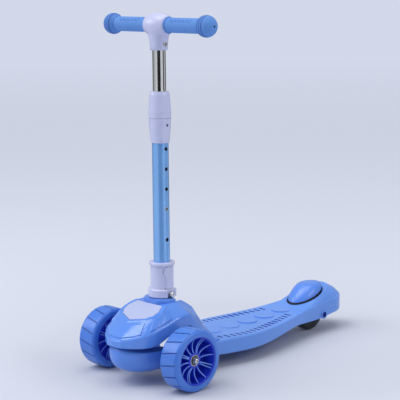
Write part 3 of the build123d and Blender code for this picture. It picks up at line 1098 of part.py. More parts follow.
def hood_points(inset):
    """Corner points of the hood's faceted top."""
    cap_z = CAP_REAR_Z - inset * 1.15
    frame = [(0, -54), (37, -39), (48, -20), (48, -2), (39, CAP_REAR_Y + 5)]
    points = []
    for x, y in hood_outline(HOOD_BAND_STEP + inset):
        points.append((x, y, band_top(y) - inset * 0.5))
    for x, y in frame:
        shrink = inset * 0.8
        points.append((max(0, x - shrink), y + shrink * 0.5, cap_z - CAP_SLOPE * (CAP_REAR_Y - y)))
    for step in range(9):
        turn = pi * step / 8
        points.append((sin(turn) * (NECK_RING_HALF + 2 - inset),
                       NECK_RING_Y - cos(turn) * (NECK_RING_HALF_LENGTH - inset),
                       NECK_RING_Z - inset))
    rear = HOOD_REAR_Y - inset
    points.append((25 - inset, rear, DECK_TOP_Z + 2 - inset))
    points.append((59 - inset, rear - 14, DECK_TOP_Z + 2 - inset))
    points.append((59 - inset, -40, DECK_TOP_Z))
    points.append((20, NOSE_Y + 14, DECK_TOP_Z))
    mirrored = [(-x, y, z) for x, y, z in points if x > 0]
    return points + mirrored


def rim_cut():
    """Everything below the hood's lower edge: level at the nose, arched over the wheels, flat on the deck."""
    lower = [(NOSE_Y - 5, RIM_Z), (-50, RIM_Z), (-30, 83), (0, 98), (26, 108), (50, 106), (76, 92),
             (100, 72)]
    edge = Spline(*lower, (DECK_FRONT_Y, DECK_TOP_Z), tangents=((1, 0), (1, -0.7)))
    last = (HOOD_REAR_Y + 20, DECK_TOP_Z)
    edges = [edge, Line((DECK_FRONT_Y, DECK_TOP_Z), last), Line(last, (HOOD_REAR_Y + 20, 0)),
             Line((HOOD_REAR_Y + 20, 0), (NOSE_Y - 5, 0)), Line((NOSE_Y - 5, 0), (NOSE_Y - 5, RIM_Z))]
    return side_slab(edges, 2 * DECK_MAX_HALF)


def hood_band(inset):
    """Rim band of the hood, between its lower edge and its sloped upper edge."""
    side = hood_outline(inset)
    around = side + [(-x, y) for x, y in reversed(side[1:])]
    plan = extrude(make_face(Polyline(*around, close=True)), 200)
    rear = HOOD_REAR_Y + 5
    top = [(NOSE_Y - 5, 90.5), (30, 129), (52, 129), (120, DECK_TOP_Z + 2), (rear, DECK_TOP_Z + 2)]
    profile = Polygon(*[(y, z - inset) for y, z in top], (rear, 0), (NOSE_Y - 5, 0), align=None)
    return plan & extrude(Plane.YZ * profile, 2 * DECK_MAX_HALF, both=True)


def saddle(grow):
    """Space above the hood's rear that the folded stem swings into."""
    half = SADDLE_HALF + grow
    floor = SADDLE_FLOOR_Z - grow
    return block(-half, half, SADDLE_FRONT_Y - grow, HOOD_REAR_Y, floor, 200)


CAP_PLANE = Plane(origin=(0, CAP_REAR_Y, CAP_REAR_Z), x_dir=(1, 0, 0), z_dir=(0, -CAP_SLOPE, 1))


def cap_face(grow):
    """Shield-shaped outline of the cap, in the cap's own plane."""
    slant = sqrt(1 + CAP_SLOPE ** 2)
    points = [(-35, -1), (-43, -18), (-41, -31), (-32, -42), (0, -54), (32, -42), (41, -31), (43, -18),
              (35, -1)]
    outline = make_face(Polyline(*[(x, y * slant) for x, y in points], close=True))
    outline = fillet(outline.vertices(), 4.0)
    return offset(outline, grow) if grow else outline


def hood():
    """Front cover: a faceted shell with a rim band, a neck ring and a saddle for the folded stem."""
    ring = Pos(0, NECK_RING_Y, 0) * extrude(Ellipse(NECK_RING_HALF, NECK_RING_HALF_LENGTH), NECK_RING_TOP_Z)
    outer = ConvexPolyhedron(hood_points(0)) + hood_band(0)
    outer += ring & block(-100, 100, -100, 200, NECK_RING_Z - 8, 200)
    outer -= saddle(0)
    inner = ConvexPolyhedron(hood_points(HOOD_WALL)) + hood_band(HOOD_WALL)
    inner -= saddle(HOOD_WALL)
    shell = outer - inner
    for x in (-HOOD_SCREW_X, HOOD_SCREW_X):
        shell += z_rod(HOOD_BOSS_R, DECK_TOP_Z, 80, x, HOOD_SCREW_Y) & outer
    shell -= rim_cut()
    opening_x = LEVER_LEG_OUTER_X + 1
    shell -= block(-opening_x, opening_x, STEM_Y - LUG_R - 1, STEM_Y + LUG_R + 1, SADDLE_FLOOR_Z - 10, 200)
    shell -= extrude(CAP_PLANE * cap_face(SEAT_GAP), -(CAP_THICK - CAP_PROUD))
    shell -= extrude(CAP_PLANE * cap_face(SEAT_GAP), 20)
    for x in (-HOOD_SCREW_X, HOOD_SCREW_X):
        shell -= z_rod(HOOD_SCREW_R + FIT_GAP, 0, DECK_TOP_Z + 10, x, HOOD_SCREW_Y)
    return largest(shell)


write("hood", hood())
cap = extrude(CAP_PLANE * cap_face(0), -(CAP_THICK - CAP_PROUD)) + extrude(CAP_PLANE * cap_face(0),
                                                                           CAP_PROUD)
write("hood_cap", cap)
hood_screws = []
for screw_x in (-HOOD_SCREW_X, HOOD_SCREW_X):
    shank = z_rod(HOOD_SCREW_R, DECK_TOP_Z - DECK_WALL, DECK_TOP_Z + 9, screw_x, HOOD_SCREW_Y)
    head = z_rod(2 * HOOD_SCREW_R, DECK_TOP_Z - DECK_WALL - 2.5, DECK_TOP_Z - DECK_WALL, screw_x,
                 HOOD_SCREW_Y)
    hood_screws.append(shank + head)
write("hood_screws", *hood_screws)
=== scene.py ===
"""Three-wheeled kick scooter: finishes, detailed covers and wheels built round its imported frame."""

import json
import logging
import math
from dataclasses import dataclass, field
from enum import Enum
from typing import Any, Sequence

import bmesh
import bpy
from mathutils import Matrix, Vector


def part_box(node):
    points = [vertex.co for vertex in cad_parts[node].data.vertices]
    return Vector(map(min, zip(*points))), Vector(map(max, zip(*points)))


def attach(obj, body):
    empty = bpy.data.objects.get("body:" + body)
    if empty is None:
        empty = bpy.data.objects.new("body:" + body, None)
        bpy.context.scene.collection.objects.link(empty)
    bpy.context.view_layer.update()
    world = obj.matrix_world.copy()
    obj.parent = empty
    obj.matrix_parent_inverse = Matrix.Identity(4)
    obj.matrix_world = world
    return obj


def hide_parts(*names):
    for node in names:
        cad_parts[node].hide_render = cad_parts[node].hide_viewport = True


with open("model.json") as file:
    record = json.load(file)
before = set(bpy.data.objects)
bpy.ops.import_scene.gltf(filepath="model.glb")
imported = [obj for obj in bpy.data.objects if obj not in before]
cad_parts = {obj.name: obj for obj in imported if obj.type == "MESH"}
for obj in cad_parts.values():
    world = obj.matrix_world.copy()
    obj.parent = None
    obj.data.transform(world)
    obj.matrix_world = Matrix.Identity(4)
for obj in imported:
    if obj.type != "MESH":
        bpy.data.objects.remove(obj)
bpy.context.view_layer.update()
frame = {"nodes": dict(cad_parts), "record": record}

MM = 0.001
# the front axle and the grips in the row frame, in metres
AXLE_Y = round(sum(corner[1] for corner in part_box("front_axle_spacers")) / 2, 4)
AXLE_Z = sum(corner[2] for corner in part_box("front_rim_left")) / 2
GRIP_AXIS_Z = sum(corner[2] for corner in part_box("handlebar_tube")) / 2
MERGE = 0.00002            # vertices closer than this become one
MIRROR_MERGE = 0.00005     # the same across the middle plane
LOG = logging.getLogger("scooter")

Point = tuple[float, float, float]
Colour = tuple[float, float, float]
Line = tuple[tuple[float, float], ...]      # corners of a profile or line


class Side(Enum):
    """The rider's two sides; the value is the sign of X."""

    LEFT = 1.0
    RIGHT = -1.0

    @property
    def label(self) -> str:
        """Return the side's name as pieces and bodies have it."""
        return self.name.lower()


def at(x: float, y: float, z: float) -> Point:
    """Turn millimetres measured from the front axle into a point of the row frame.

    Args:
        x: Distance to the rider's left.
        y: Distance behind the front axle.
        z: Height above the floor.

    Returns:
        The point in metres.
    """
    return (x * MM, y * MM + AXLE_Y, z * MM)


def corners_of(node: str) -> tuple[Point, Point]:
    """Find the box of a CAD node at rest.

    Args:
        node: Name of the node.

    Returns:
        Its lowest and highest corners in millimetres, to a tenth, measured as at() takes them.
    """
    low, high = [(round(x / MM, 1), round((y - AXLE_Y) / MM, 1), round(z / MM, 1))
                 for x, y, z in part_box(node)]
    return (low, high)


def middle_of(node: str) -> Point:
    """Find the middle of a CAD node's box at rest.

    Args:
        node: Name of the node.

    Returns:
        The middle in millimetres, measured as at() takes it.
    """
    low, high = corners_of(node)
    return (mix(low[0], high[0], 0.5), mix(low[1], high[1], 0.5), mix(low[2], high[2], 0.5))


def mix(low: float, high: float, share: float) -> float:
    """Return the value that lies a share of the way from low to high."""
    return low + (high - low) * share


def srgb(red: int, green: int, blue: int) -> Colour:
    """Turn a display colour into the linear one that shaders use.

    Args:
        red: Red, 0 to 255.
        green: Green, 0 to 255.
        blue: Blue, 0 to 255.

    Returns:
        The linear colour.
    """
    linear = []
    for value in (red / 255, green / 255, blue / 255):
        linear.append(value / 12.92 if value <= 0.04045 else ((value + 0.055) / 1.055) ** 2.4)
    return (linear[0], linear[1], linear[2])


def circle(steps: int) -> list[tuple[float, float]]:
    """Return the cosine and sine of evenly spaced directions, once round."""
    turns = [2 * math.pi * step / steps for step in range(steps)]
    return [(math.cos(turn), math.sin(turn)) for turn in turns]


def height_at(y: float, line: Line) -> float:
    """Read a height from a line of (y, z) corners.

    Args:
        y: Distance behind the front axle.
        line: Corners in order of y.

    Returns:
        The height, or the last corner's beyond the end.
    """
    for (y0, z0), (y1, z1) in zip(line, line[1:]):
        if y <= y1:
            return mix(z0, z1, (y - y0) / (y1 - y0))
    return line[-1][1]


def shade_of(colour: Colour, factor: float) -> Colour:
    """Return the colour made darker, or lighter with a factor above 1."""
    return (min(1.0, colour[0] * factor), min(1.0, colour[1] * factor), min(1.0, colour[2] * factor))


_, STEM_Y, BAR_Z = middle_of("handlebar_tube")      # the stem's axis and the handlebar's height


# ---------------------------------------------------------------- shader graph
class Socket:
    """An output socket that takes part in arithmetic; each operation adds a Math node."""

    def __init__(self, graph: "Graph", output: Any) -> None:
        """Keep the graph and the Blender output socket."""
        self.graph = graph
        self.output = output

    def _maths(self, operation: str, first: Any, second: Any) -> "Socket":
        """Add a Math node on two values or sockets and return its result."""
        return self.graph.node("ShaderNodeMath", {"operation": operation}, {0: first, 1: second})

    def __add__(self, other: Any) -> "Socket":
        """Add a number or socket."""
        return self._maths("ADD", self, other)

    def __radd__(self, other: Any) -> "Socket":
        """Add to a number."""
        return self._maths("ADD", other, self)

    def __sub__(self, other: Any) -> "Socket":
        """Subtract a number or socket."""
        return self._maths("SUBTRACT", self, other)

    def __rsub__(self, other: Any) -> "Socket":
        """Subtract from a number."""
        return self._maths("SUBTRACT", other, self)

    def __mul__(self, other: Any) -> "Socket":
        """Multiply by a number or socket."""
        return self._maths("MULTIPLY", self, other)

    def __rmul__(self, other: Any) -> "Socket":
        """Multiply a number."""
        return self._maths("MULTIPLY", other, self)

    def __truediv__(self, other: Any) -> "Socket":
        """Divide by a number or socket."""
        return self._maths("DIVIDE", self, other)

    def __abs__(self) -> "Socket":
        """Take the size without its sign."""
        return self._maths("ABSOLUTE", self, 0.0)

    def over(self, edge: float) -> "Socket":
        """Return 1 where the value is above the edge and 0 elsewhere."""
        return self._maths("GREATER_THAN", self, edge)

    def wave(self) -> "Socket":
        """Return the sine of the value."""
        return self._maths("SINE", self, 0.0)

    def clamp(self, low: float, high: float) -> "Socket":
        """Keep the value between two numbers."""
        return self._maths("MINIMUM", self._maths("MAXIMUM", self, low), high)


class Graph:
    """The node tree of a material or the world, filled through one method."""

    def __init__(self, name: str, world: bpy.types.World | None = None) -> None:
        """Start with an empty node tree.

        Args:
            name: Name of a new material.
            world: A world whose tree is filled instead.
        """
        self.material = None if world else bpy.data.materials.new(name)
        owner = world or self.material
        owner.use_nodes = True
        self.tree = owner.node_tree
        self.tree.nodes.clear()

    def node(self, kind: str, settings: dict[str, Any], sockets: dict[Any, Any], output: Any = 0) -> Socket:
        """Add a node.

        Args:
            kind: Blender's node type.
            settings: Properties, set first.
            sockets: Values or sockets for its inputs, by name or number.
            output: Which output to return.

        Returns:
            The chosen output.
        """
        made = self.tree.nodes.new(kind)
        for key, value in settings.items():
            setattr(made, key, value)
        for key, value in sockets.items():
            if isinstance(value, Socket):
                self.tree.links.new(value.output, made.inputs[key])
            elif isinstance(value, tuple) and made.inputs[key].type == "RGBA":
                made.inputs[key].default_value = (*value, 1.0)
            else:
                made.inputs[key].default_value = value
        return Socket(self, made.outputs[output])

    def place(self) -> Socket:
        """Return the position on the piece, in metres."""
        return self.node("ShaderNodeTexCoord", {}, {}, "Object")

    def stretched(self, scale: Point) -> Socket:
        """Return the position scaled per axis, for grain that runs one way."""
        return self.node("ShaderNodeMapping", {}, {"Vector": self.place(), "Scale": scale})

    def axis(self, which: str) -> Socket:
        """Return one coordinate of the position, in metres."""
        return self.node("ShaderNodeSeparateXYZ", {}, {"Vector": self.place()}, which)

    def noise(self, scale: float, detail: float = 3.0, vector: Socket | None = None) -> Socket:
        """Return smooth noise from 0 to 1.

        Args:
            scale: Cells per metre.
            detail: Octaves.
            vector: Where to sample, or None for the position.

        Returns:
            The noise value.
        """
        where = vector or self.place()
        return self.node("ShaderNodeTexNoise", {}, {"Vector": where, "Scale": scale, "Detail": detail})

    def root(self, value: Socket) -> Socket:
        """Return the square root of a value that is kept at 0 or more."""
        return self.node("ShaderNodeMath", {"operation": "SQRT"}, {0: value.clamp(0.0, 1.0e6)})

    def angle(self, rise: Socket, run: Socket) -> Socket:
        """Return the angle of a direction, in radians."""
        return self.node("ShaderNodeMath", {"operation": "ARCTAN2"}, {0: rise, 1: run})

    def blend(self, factor: Any, low: Any, high: Any) -> Socket:
        """Mix two colours."""
        settings = {"data_type": "RGBA", "clamp_factor": True}
        return self.node("ShaderNodeMix", settings, {"Factor": factor, 6: low, 7: high}, 2)

    def bump(self, height: Socket, depth: float, round_edges: float) -> Socket:
        """Return a normal with relief.

        Args:
            height: Relief from 0 to 1.
            depth: Depth of the relief, in metres.
            round_edges: Radius by which shading softens sharp edges, in metres, or 0.

        Returns:
            The normal.
        """
        sockets: dict[Any, Any] = {"Strength": 1.0, "Distance": depth, "Height": height}
        if round_edges:
            sockets["Normal"] = self.node("ShaderNodeBevel", {"samples": 4}, {"Radius": round_edges})
        return self.node("ShaderNodeBump", {}, sockets)

    def finish(self, sockets: dict[str, Any]) -> bpy.types.Material:
        """Wire a Principled shader to the output.

        Args:
            sockets: Values or sockets for the shader's inputs.

        Returns:
            The material.
        """
        shader = self.node("ShaderNodeBsdfPrincipled", {}, sockets)
        self.node_output(shader)
        return self.material

    def node_output(self, shader: Socket, kind: str = "ShaderNodeOutputMaterial") -> None:
        """Send a shader to the output of the material or world."""
        target = self.tree.nodes.new(kind)
        self.tree.links.new(shader.output, target.inputs["Surface"])


# ---------------------------------------------------------------- finishes
@dataclass(frozen=True)
class MouldedPlastic:
    """Injection-moulded plastic: soft gloss, faint flow marks and handling scuffs."""

    name: str
    colour: Colour
    roughness: float = 0.28
    mottle: float = 0.07
    grain: float = 1400.0
    grain_share: float = 0.5
    grain_depth: float = 0.00003
    edge: float = 0.0008
    coat: float = 0.25
    coat_roughness: float = 0.12
    flow_scale: float = 9.0
    flow_gloss: float = 0.06
    scuff_scale: float = 70.0
    scuff_from: float = 0.55
    scuff_most: float = 0.3
    scuff_gloss: float = 0.5

    def make(self) -> bpy.types.Material:
        """Build the material.

        Returns:
            The material, ready to use.
        """
        graph = Graph(self.name)
        cloud = graph.noise(self.flow_scale, 2.0)
        scuff = (graph.noise(self.scuff_scale, 6.0) - self.scuff_from).clamp(0.0, self.scuff_most)
        colour = graph.blend(cloud, shade_of(self.colour, 1 - self.mottle),
                             shade_of(self.colour, 1 + self.mottle))
        rough = self.roughness + scuff * self.scuff_gloss + cloud * self.flow_gloss
        relief = graph.noise(self.grain, 2.0) * self.grain_share + cloud * (1 - self.grain_share)
        return graph.finish({
            "Base Color": colour, "Roughness": rough, "Coat Weight": self.coat,
            "Coat Roughness": self.coat_roughness, "Specular IOR Level": 0.5,
            "Normal": graph.bump(relief, self.grain_depth, self.edge)})


@dataclass(frozen=True)
class CastPolyurethane:
    """Cast wheel material: slightly clear, with rubbing marks on its running surface."""

    name: str
    colour: Colour
    depth_colour: Colour
    roughness: float = 0.3
    clear: float = 0.35
    # painted shade: radius, span, darker blue and share for the tread's groove floors
    groove_radius: float = 0.0
    groove_span: tuple[float, float] = (0.0975, 0.1355)
    groove_shade_colour: Colour = srgb(34, 74, 168)
    groove_shade_share: float = 0.8
    cloud_scale: float = 28.0
    cloud_share: float = 0.7
    streaks: Point = (900.0, 60.0, 60.0)
    streak_share: float = 0.3
    streak_gloss: float = 0.14
    streak_depth: float = 0.00008
    edge: float = 0.0008
    glow_radius: Point = (0.004, 0.006, 0.012)
    glow_scale: float = 0.8
    coat: float = 0.15

    def make(self) -> bpy.types.Material:
        """Build the material, with painted shade that darkens the groove floors where groove_radius is given.

        Returns:
            The material, ready to use.
        """
        graph = Graph(self.name)
        cloud = graph.noise(self.cloud_scale, 3.0)
        streak = graph.noise(1.0, 4.0, graph.stretched(self.streaks))
        colour = graph.blend(cloud * self.cloud_share + streak * self.streak_share, self.depth_colour,
                             self.colour)
        # painted shade: inside groove_radius and within the span, the tread's groove floors are blended
        # towards a darker blue
        if self.groove_radius:
            run, rise = graph.axis("Y") - AXLE_Y, graph.axis("Z") - AXLE_Z
            across = abs(graph.axis("X"))
            inside = 1.0 - graph.root(run * run + rise * rise).over(self.groove_radius)
            between = across.over(self.groove_span[0]) * (1.0 - across.over(self.groove_span[1]))
            colour = graph.blend(inside * between * self.groove_shade_share, colour, self.groove_shade_colour)
        rough = self.roughness + streak * self.streak_gloss
        return graph.finish({
            "Base Color": colour, "Roughness": rough, "Subsurface Weight": self.clear,
            "Subsurface Radius": self.glow_radius, "Subsurface Scale": self.glow_scale,
            "Coat Weight": self.coat, "Normal": graph.bump(streak, self.streak_depth, self.edge)})


@dataclass(frozen=True)
class PaintedTube:
    """Metallic lacquer over steel tube, with fine flake."""

    name: str
    colour: Colour
    flake: float = 0.18
    roughness: float = 0.3
    flake_scale: float = 2600.0
    flake_share: float = 0.6
    cloud_scale: float = 14.0
    cloud_share: float = 0.4
    cloud_gloss: float = 0.08
    cloud_depth: float = 0.00004
    edge: float = 0.0004
    metal: float = 0.35
    coat: float = 0.6
    coat_roughness: float = 0.08

    def make(self) -> bpy.types.Material:
        """Build the material.

        Returns:
            The material, ready to use.
        """
        graph = Graph(self.name)
        flakes = graph.node("ShaderNodeTexVoronoi", {}, {"Vector": graph.place(), "Scale": self.flake_scale},
                            "Distance")
        cloud = graph.noise(self.cloud_scale, 2.0)
        shine = flakes * self.flake_share + cloud * self.cloud_share
        colour = graph.blend(shine, shade_of(self.colour, 1 - self.flake),
                             shade_of(self.colour, 1 + self.flake))
        rough = self.roughness + cloud * self.cloud_gloss
        return graph.finish({
            "Base Color": colour, "Metallic": self.metal, "Roughness": rough, "Coat Weight": self.coat,
            "Coat Roughness": self.coat_roughness, "Normal": graph.bump(cloud, self.cloud_depth, self.edge)})


@dataclass(frozen=True)
class Metal:
    """Bare or plated metal with fine drawing marks along one axis."""

    name: str
    colour: Colour
    roughness: float
    grain: Point = (300.0, 300.0, 30.0)
    grain_scale: float = 8.0
    grain_share: float = 0.2
    grain_gloss: float = 0.6
    grain_depth: float = 0.00002
    spot_scale: float = 160.0
    spot_from: float = 0.6
    spot_most: float = 0.2
    spot_share: float = 3.0
    spot_gloss: float = 0.6
    spot_shade: float = 0.72
    edge: float = 0.0003

    def make(self) -> bpy.types.Material:
        """Build the material.

        Returns:
            The material, ready to use.
        """
        graph = Graph(self.name)
        drawn = graph.noise(self.grain_scale, 4.0, graph.stretched(self.grain))
        spots = (graph.noise(self.spot_scale, 5.0) - self.spot_from).clamp(0.0, self.spot_most)
        colour = graph.blend(spots * self.spot_share + drawn * self.grain_share, self.colour,
                             shade_of(self.colour, self.spot_shade))
        rough = self.roughness + drawn * self.roughness * self.grain_gloss + spots * self.spot_gloss
        return graph.finish({"Base Color": colour, "Metallic": 1.0, "Roughness": rough,
                             "Normal": graph.bump(drawn, self.grain_depth, self.edge)})


@dataclass(frozen=True)
class SoftRubber:
    """Matt rubber with a bloom of fine grain; a hand grip also has rows of chevrons and rings, in relief and
    darkened by painted shade as grooves.
    """

    name: str
    colour: Colour
    grip: bool = False
    roughness: float = 0.62
    rings: tuple[float, ...] = (0.1215, 0.1265, 0.1315)
    ring_half: float = 0.0021
    # painted shade: the darker blue and share that darken the grip's rings and chevrons
    groove_shade_colour: Colour = srgb(36, 82, 168)
    pattern_from: float = 0.040
    pattern_to: float = 0.098
    chevron_height: float = 0.0085
    chevron_swing: float = 0.0016
    chevron_half: float = 0.0013
    chevron_turns: float = 600.0
    chevron_breaks: float = 2400.0
    chevron_gap: float = -0.3
    chevron_share: float = 0.7
    mark_shade_share: float = 0.9
    mark_depth: float = 0.0009
    grain_scale: float = 900.0
    grain_share: float = 0.25
    worn_grain_share: float = 0.1
    grain_gloss: float = 0.12
    grain_depth: float = 0.0001
    cloud_scale: float = 30.0
    cloud_shades: tuple[float, float] = (0.92, 1.06)
    edge: float = 0.0005

    def make(self) -> bpy.types.Material:
        """Build the material.

        Returns:
            The material, ready to use.
        """
        graph = Graph(self.name)
        grain = graph.noise(self.grain_scale, 3.0)
        cloud = graph.noise(self.cloud_scale, 3.0)
        relief = grain * self.grain_share
        low, high = self.cloud_shades
        colour = graph.blend(cloud, shade_of(self.colour, low), shade_of(self.colour, high))
        if self.grip:
            relief, colour = self.grip_pattern(graph, grain, colour)
        return graph.finish({
            "Base Color": colour, "Roughness": self.roughness + grain * self.grain_gloss,
            "Normal": graph.bump(relief, self.mark_depth if self.grip else self.grain_depth, self.edge)})

    def grip_pattern(self, graph: Graph, grain: Socket, colour: Socket) -> tuple[Socket, Socket]:
        """Add the chevrons along the grip and the rings beside its ball end, in relief and darkened by
        painted shade.

        Args:
            graph: The material's nodes.
            grain: Fine grain.
            colour: Colour without the pattern.

        Returns:
            The relief and the colour.
        """
        along = abs(graph.axis("X"))
        height = graph.axis("Z") - GRIP_AXIS_Z
        reach = along.over(self.pattern_from) * (1.0 - along.over(self.pattern_to))
        line = abs(height - (along * self.chevron_turns).wave() * self.chevron_swing - self.chevron_height)
        breaks = (along * self.chevron_breaks).wave().over(self.chevron_gap)
        chevrons = (1.0 - line.over(self.chevron_half)) * breaks * reach
        marks = chevrons * self.chevron_share
        for ring in self.rings:
            marks = marks + (1.0 - abs(along - ring) / self.ring_half).clamp(0.0, 1.0)
        marks = marks.clamp(0.0, 1.0)
        # painted shade: the rings and chevrons are blended towards the darker blue
        dark = graph.blend(marks * self.mark_shade_share, colour, self.groove_shade_colour)
        return 1.0 - marks + grain * self.worn_grain_share, dark


BODY_BLUE = MouldedPlastic("body_blue", srgb(86, 138, 230))
HOOD_BLUE = MouldedPlastic("hood_blue", srgb(92, 144, 233), roughness=0.13, edge=0.0011)
DECK_BLUE = MouldedPlastic("deck_blue", srgb(98, 148, 232), roughness=0.34, grain_depth=0.00005)
PALE = MouldedPlastic("pale_lavender", srgb(196, 200, 232), roughness=0.32, edge=0.0012)
CAP_PALE = MouldedPlastic("cap_lavender", srgb(180, 190, 226), roughness=0.3, edge=0.0012)
TYRE_BLUE = CastPolyurethane("tyre_blue", srgb(80, 140, 226), srgb(56, 110, 210), groove_radius=0.0593)
RIM_BLUE = MouldedPlastic("rim_blue", srgb(34, 62, 208), roughness=0.3)
# painted highlight: a lighter blue on the crests of the wheel ribs, where they catch the light
RIB_HIGHLIGHT_BLUE = MouldedPlastic("rib_highlight_blue", srgb(104, 148, 240), roughness=0.3)
TYRE_BLACK = CastPolyurethane("tyre_black", srgb(30, 32, 40), srgb(20, 22, 28), clear=0.02)
CORE_BLACK = MouldedPlastic("core_black", srgb(28, 28, 34), roughness=0.45)
GRIP_BLUE = SoftRubber("grip_blue", srgb(88, 140, 212), grip=True)
TEE_PALE = MouldedPlastic("tee_lavender", srgb(196, 200, 232), roughness=0.32, edge=0.004)
TUBE_BLUE = PaintedTube("tube_blue", srgb(120, 176, 241))
CHROME = Metal("chrome_plate", srgb(214, 216, 220), 0.07)
ZINC = Metal("zinc_steel", srgb(186, 188, 192), 0.3)
BEARING_STEEL = Metal("bearing_steel", srgb(176, 176, 180), 0.24)
COATED = MouldedPlastic("powder_coat", srgb(48, 54, 70), roughness=0.5, grain=2600.0, grain_depth=0.00008)
# black nylon of the real small parts, also used as painted shade at the brake dome's foot, the grip vents and
# the height holes
NYLON_AND_SHADE = MouldedPlastic("black_nylon", srgb(32, 32, 36), roughness=0.5)
BLACK_RUBBER = SoftRubber("black_rubber", srgb(26, 26, 28))
# painted shade: dark blue for the rear axle's recesses
RECESS_SHADE_BLUE = MouldedPlastic("recess_shade_blue", srgb(30, 52, 160), roughness=0.5)
# painted shade: dark blue for the deck's cross grooves
GROOVE_SHADE_BLUE = MouldedPlastic("groove_shade_blue", srgb(42, 76, 170), roughness=0.5)

SLOT_FINISHES = {
    "body_blue": BODY_BLUE, "deck_blue": DECK_BLUE, "pale_lavender": PALE, "tyre_blue": TYRE_BLUE,
    "rim_blue": RIM_BLUE, "tyre_black": TYRE_BLACK, "core_black": CORE_BLACK, "grip_blue": GRIP_BLUE,
    "tube_blue": TUBE_BLUE, "chrome_tube": CHROME, "zinc_steel": ZINC, "bearing_steel": BEARING_STEEL,
    "coated_steel": COATED, "black_nylon": NYLON_AND_SHADE, "black_rubber": BLACK_RUBBER}

_MADE: dict[str, bpy.types.Material] = {}


def material(finish: Any) -> bpy.types.Material:
    """Build a finish's material once.

    Args:
        finish: One of the finishes above.

    Returns:
        The material.
    """
    if finish.name not in _MADE:
        _MADE[finish.name] = finish.make()
    return _MADE[finish.name]


# ---------------------------------------------------------------- mesh helpers
class Mesh:
    """Vertices and faces gathered in millimetres from the front axle, then made into an object."""

    def __init__(self) -> None:
        """Start empty."""
        self.points: list[Point] = []
        self.faces: list[list[int]] = []
        self.paint: list[int] = []

    def point(self, x: float, y: float, z: float) -> int:
        """Add a vertex and return its number."""
        self.points.append((x, y, z))
        return len(self.points) - 1

    def face(self, corners: Sequence[int], paint: int = 0) -> None:
        """Add a face, with the number of its material."""
        self.faces.append(list(corners))
        self.paint.append(paint)

    def polygon(self, corners: Sequence[Point], paint: int = 0) -> None:
        """Add a face with vertices of its own."""
        self.face([self.point(*corner) for corner in corners], paint)

    def rings(self, rings: Sequence[Sequence[Point]], closed: bool = True, paint: int = 0) -> None:
        """Join rows of points into quads.

        Args:
            rings: Rows with the same number of points.
            closed: Whether each row closes on itself.
            paint: Number of the material.
        """
        rows = [[self.point(*spot) for spot in ring] for ring in rings]
        count = len(rows[0])
        for low, high in zip(rows, rows[1:]):
            for index in range(count if closed else count - 1):
                after = (index + 1) % count
                self.face((low[index], low[after], high[after], high[index]), paint)

    def lathe_x(self, profile: Sequence[tuple[float, float]], y: float, z: float, steps: int = 96,
                paint: int = 0) -> None:
        """Turn a closed profile of (x, radius) points about an axis along X.

        Args:
            profile: Corners of the profile.
            y: The axis's distance behind the front axle.
            z: The axis's height.
            steps: Sides of the turned form.
            paint: Number of the material.
        """
        rows = [[(x, y + radius * cosine, z + radius * sine) for x, radius in profile]
                for cosine, sine in circle(steps)]
        rows.append(rows[0])
        self.rings(rows, closed=True, paint=paint)

    def build(self, name: str, body: str, finishes: Sequence[Any], slot: str, smooth: float = 35.0,
              mirror: bool = False) -> bpy.types.Object:
        """Make the object, dress it and let it ride on a body.

        Args:
            name: Name of the piece.
            body: Body that it moves with.
            finishes: Finishes in the order of the paint numbers.
            slot: The record's material slot; not used.
            smooth: Angle in degrees above which edges stay sharp.
            mirror: Whether to add the mirror image across the middle plane.

        Returns:
            The object.
        """
        data = bpy.data.meshes.new(name)
        data.from_pydata([at(*point) for point in self.points], [], self.faces)
        for finish in finishes:
            data.materials.append(material(finish))
        for polygon, paint in zip(data.polygons, self.paint):
            polygon.material_index = paint
        work = bmesh.new()
        work.from_mesh(data)
        if mirror:
            bmesh.ops.mirror(work, geom=work.verts[:] + work.edges[:] + work.faces[:],
                             matrix=Matrix.Identity(4), merge_dist=MIRROR_MERGE, axis="X")
        bmesh.ops.remove_doubles(work, verts=work.verts, dist=MERGE)
        bmesh.ops.recalc_face_normals(work, faces=work.faces)
        limit = math.radians(smooth)
        for edge in work.edges:
            angle = edge.calc_face_angle(math.pi) if len(edge.link_faces) == 2 else math.pi
            edge.smooth = angle < limit
        for face in work.faces:
            face.smooth = True
        work.to_mesh(data)
        work.free()
        piece = bpy.data.objects.new(name, data)
        bpy.context.collection.objects.link(piece)
        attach(piece, body)
        LOG.info("%s: %d faces on %s", name, len(self.faces), body)
        return piece


@dataclass
class CarriedOver:
    """CAD nodes that keep their shape and take a detailed finish."""

    own_finishes: dict[str, Any] = field(default_factory=lambda: {
        "hood_cap": CAP_PALE, "collar_screw": NYLON_AND_SHADE, "t_joint_bolt": CHROME, "fold_pivot_bolt": CHROME,
        "front_axle_bolts": CHROME})

    def build(self) -> None:
        """Dress every CAD node by its material slot."""
        slots = {entry["node"]: entry["material_slot"] for entry in frame["record"]["subparts"]}
        for name, node in frame["nodes"].items():
            finish = self.own_finishes.get(name, SLOT_FINISHES[slots[name]])
            node.data.materials.clear()
            node.data.materials.append(material(finish))
            LOG.info("%s: dressed as %s", name, finish.name)


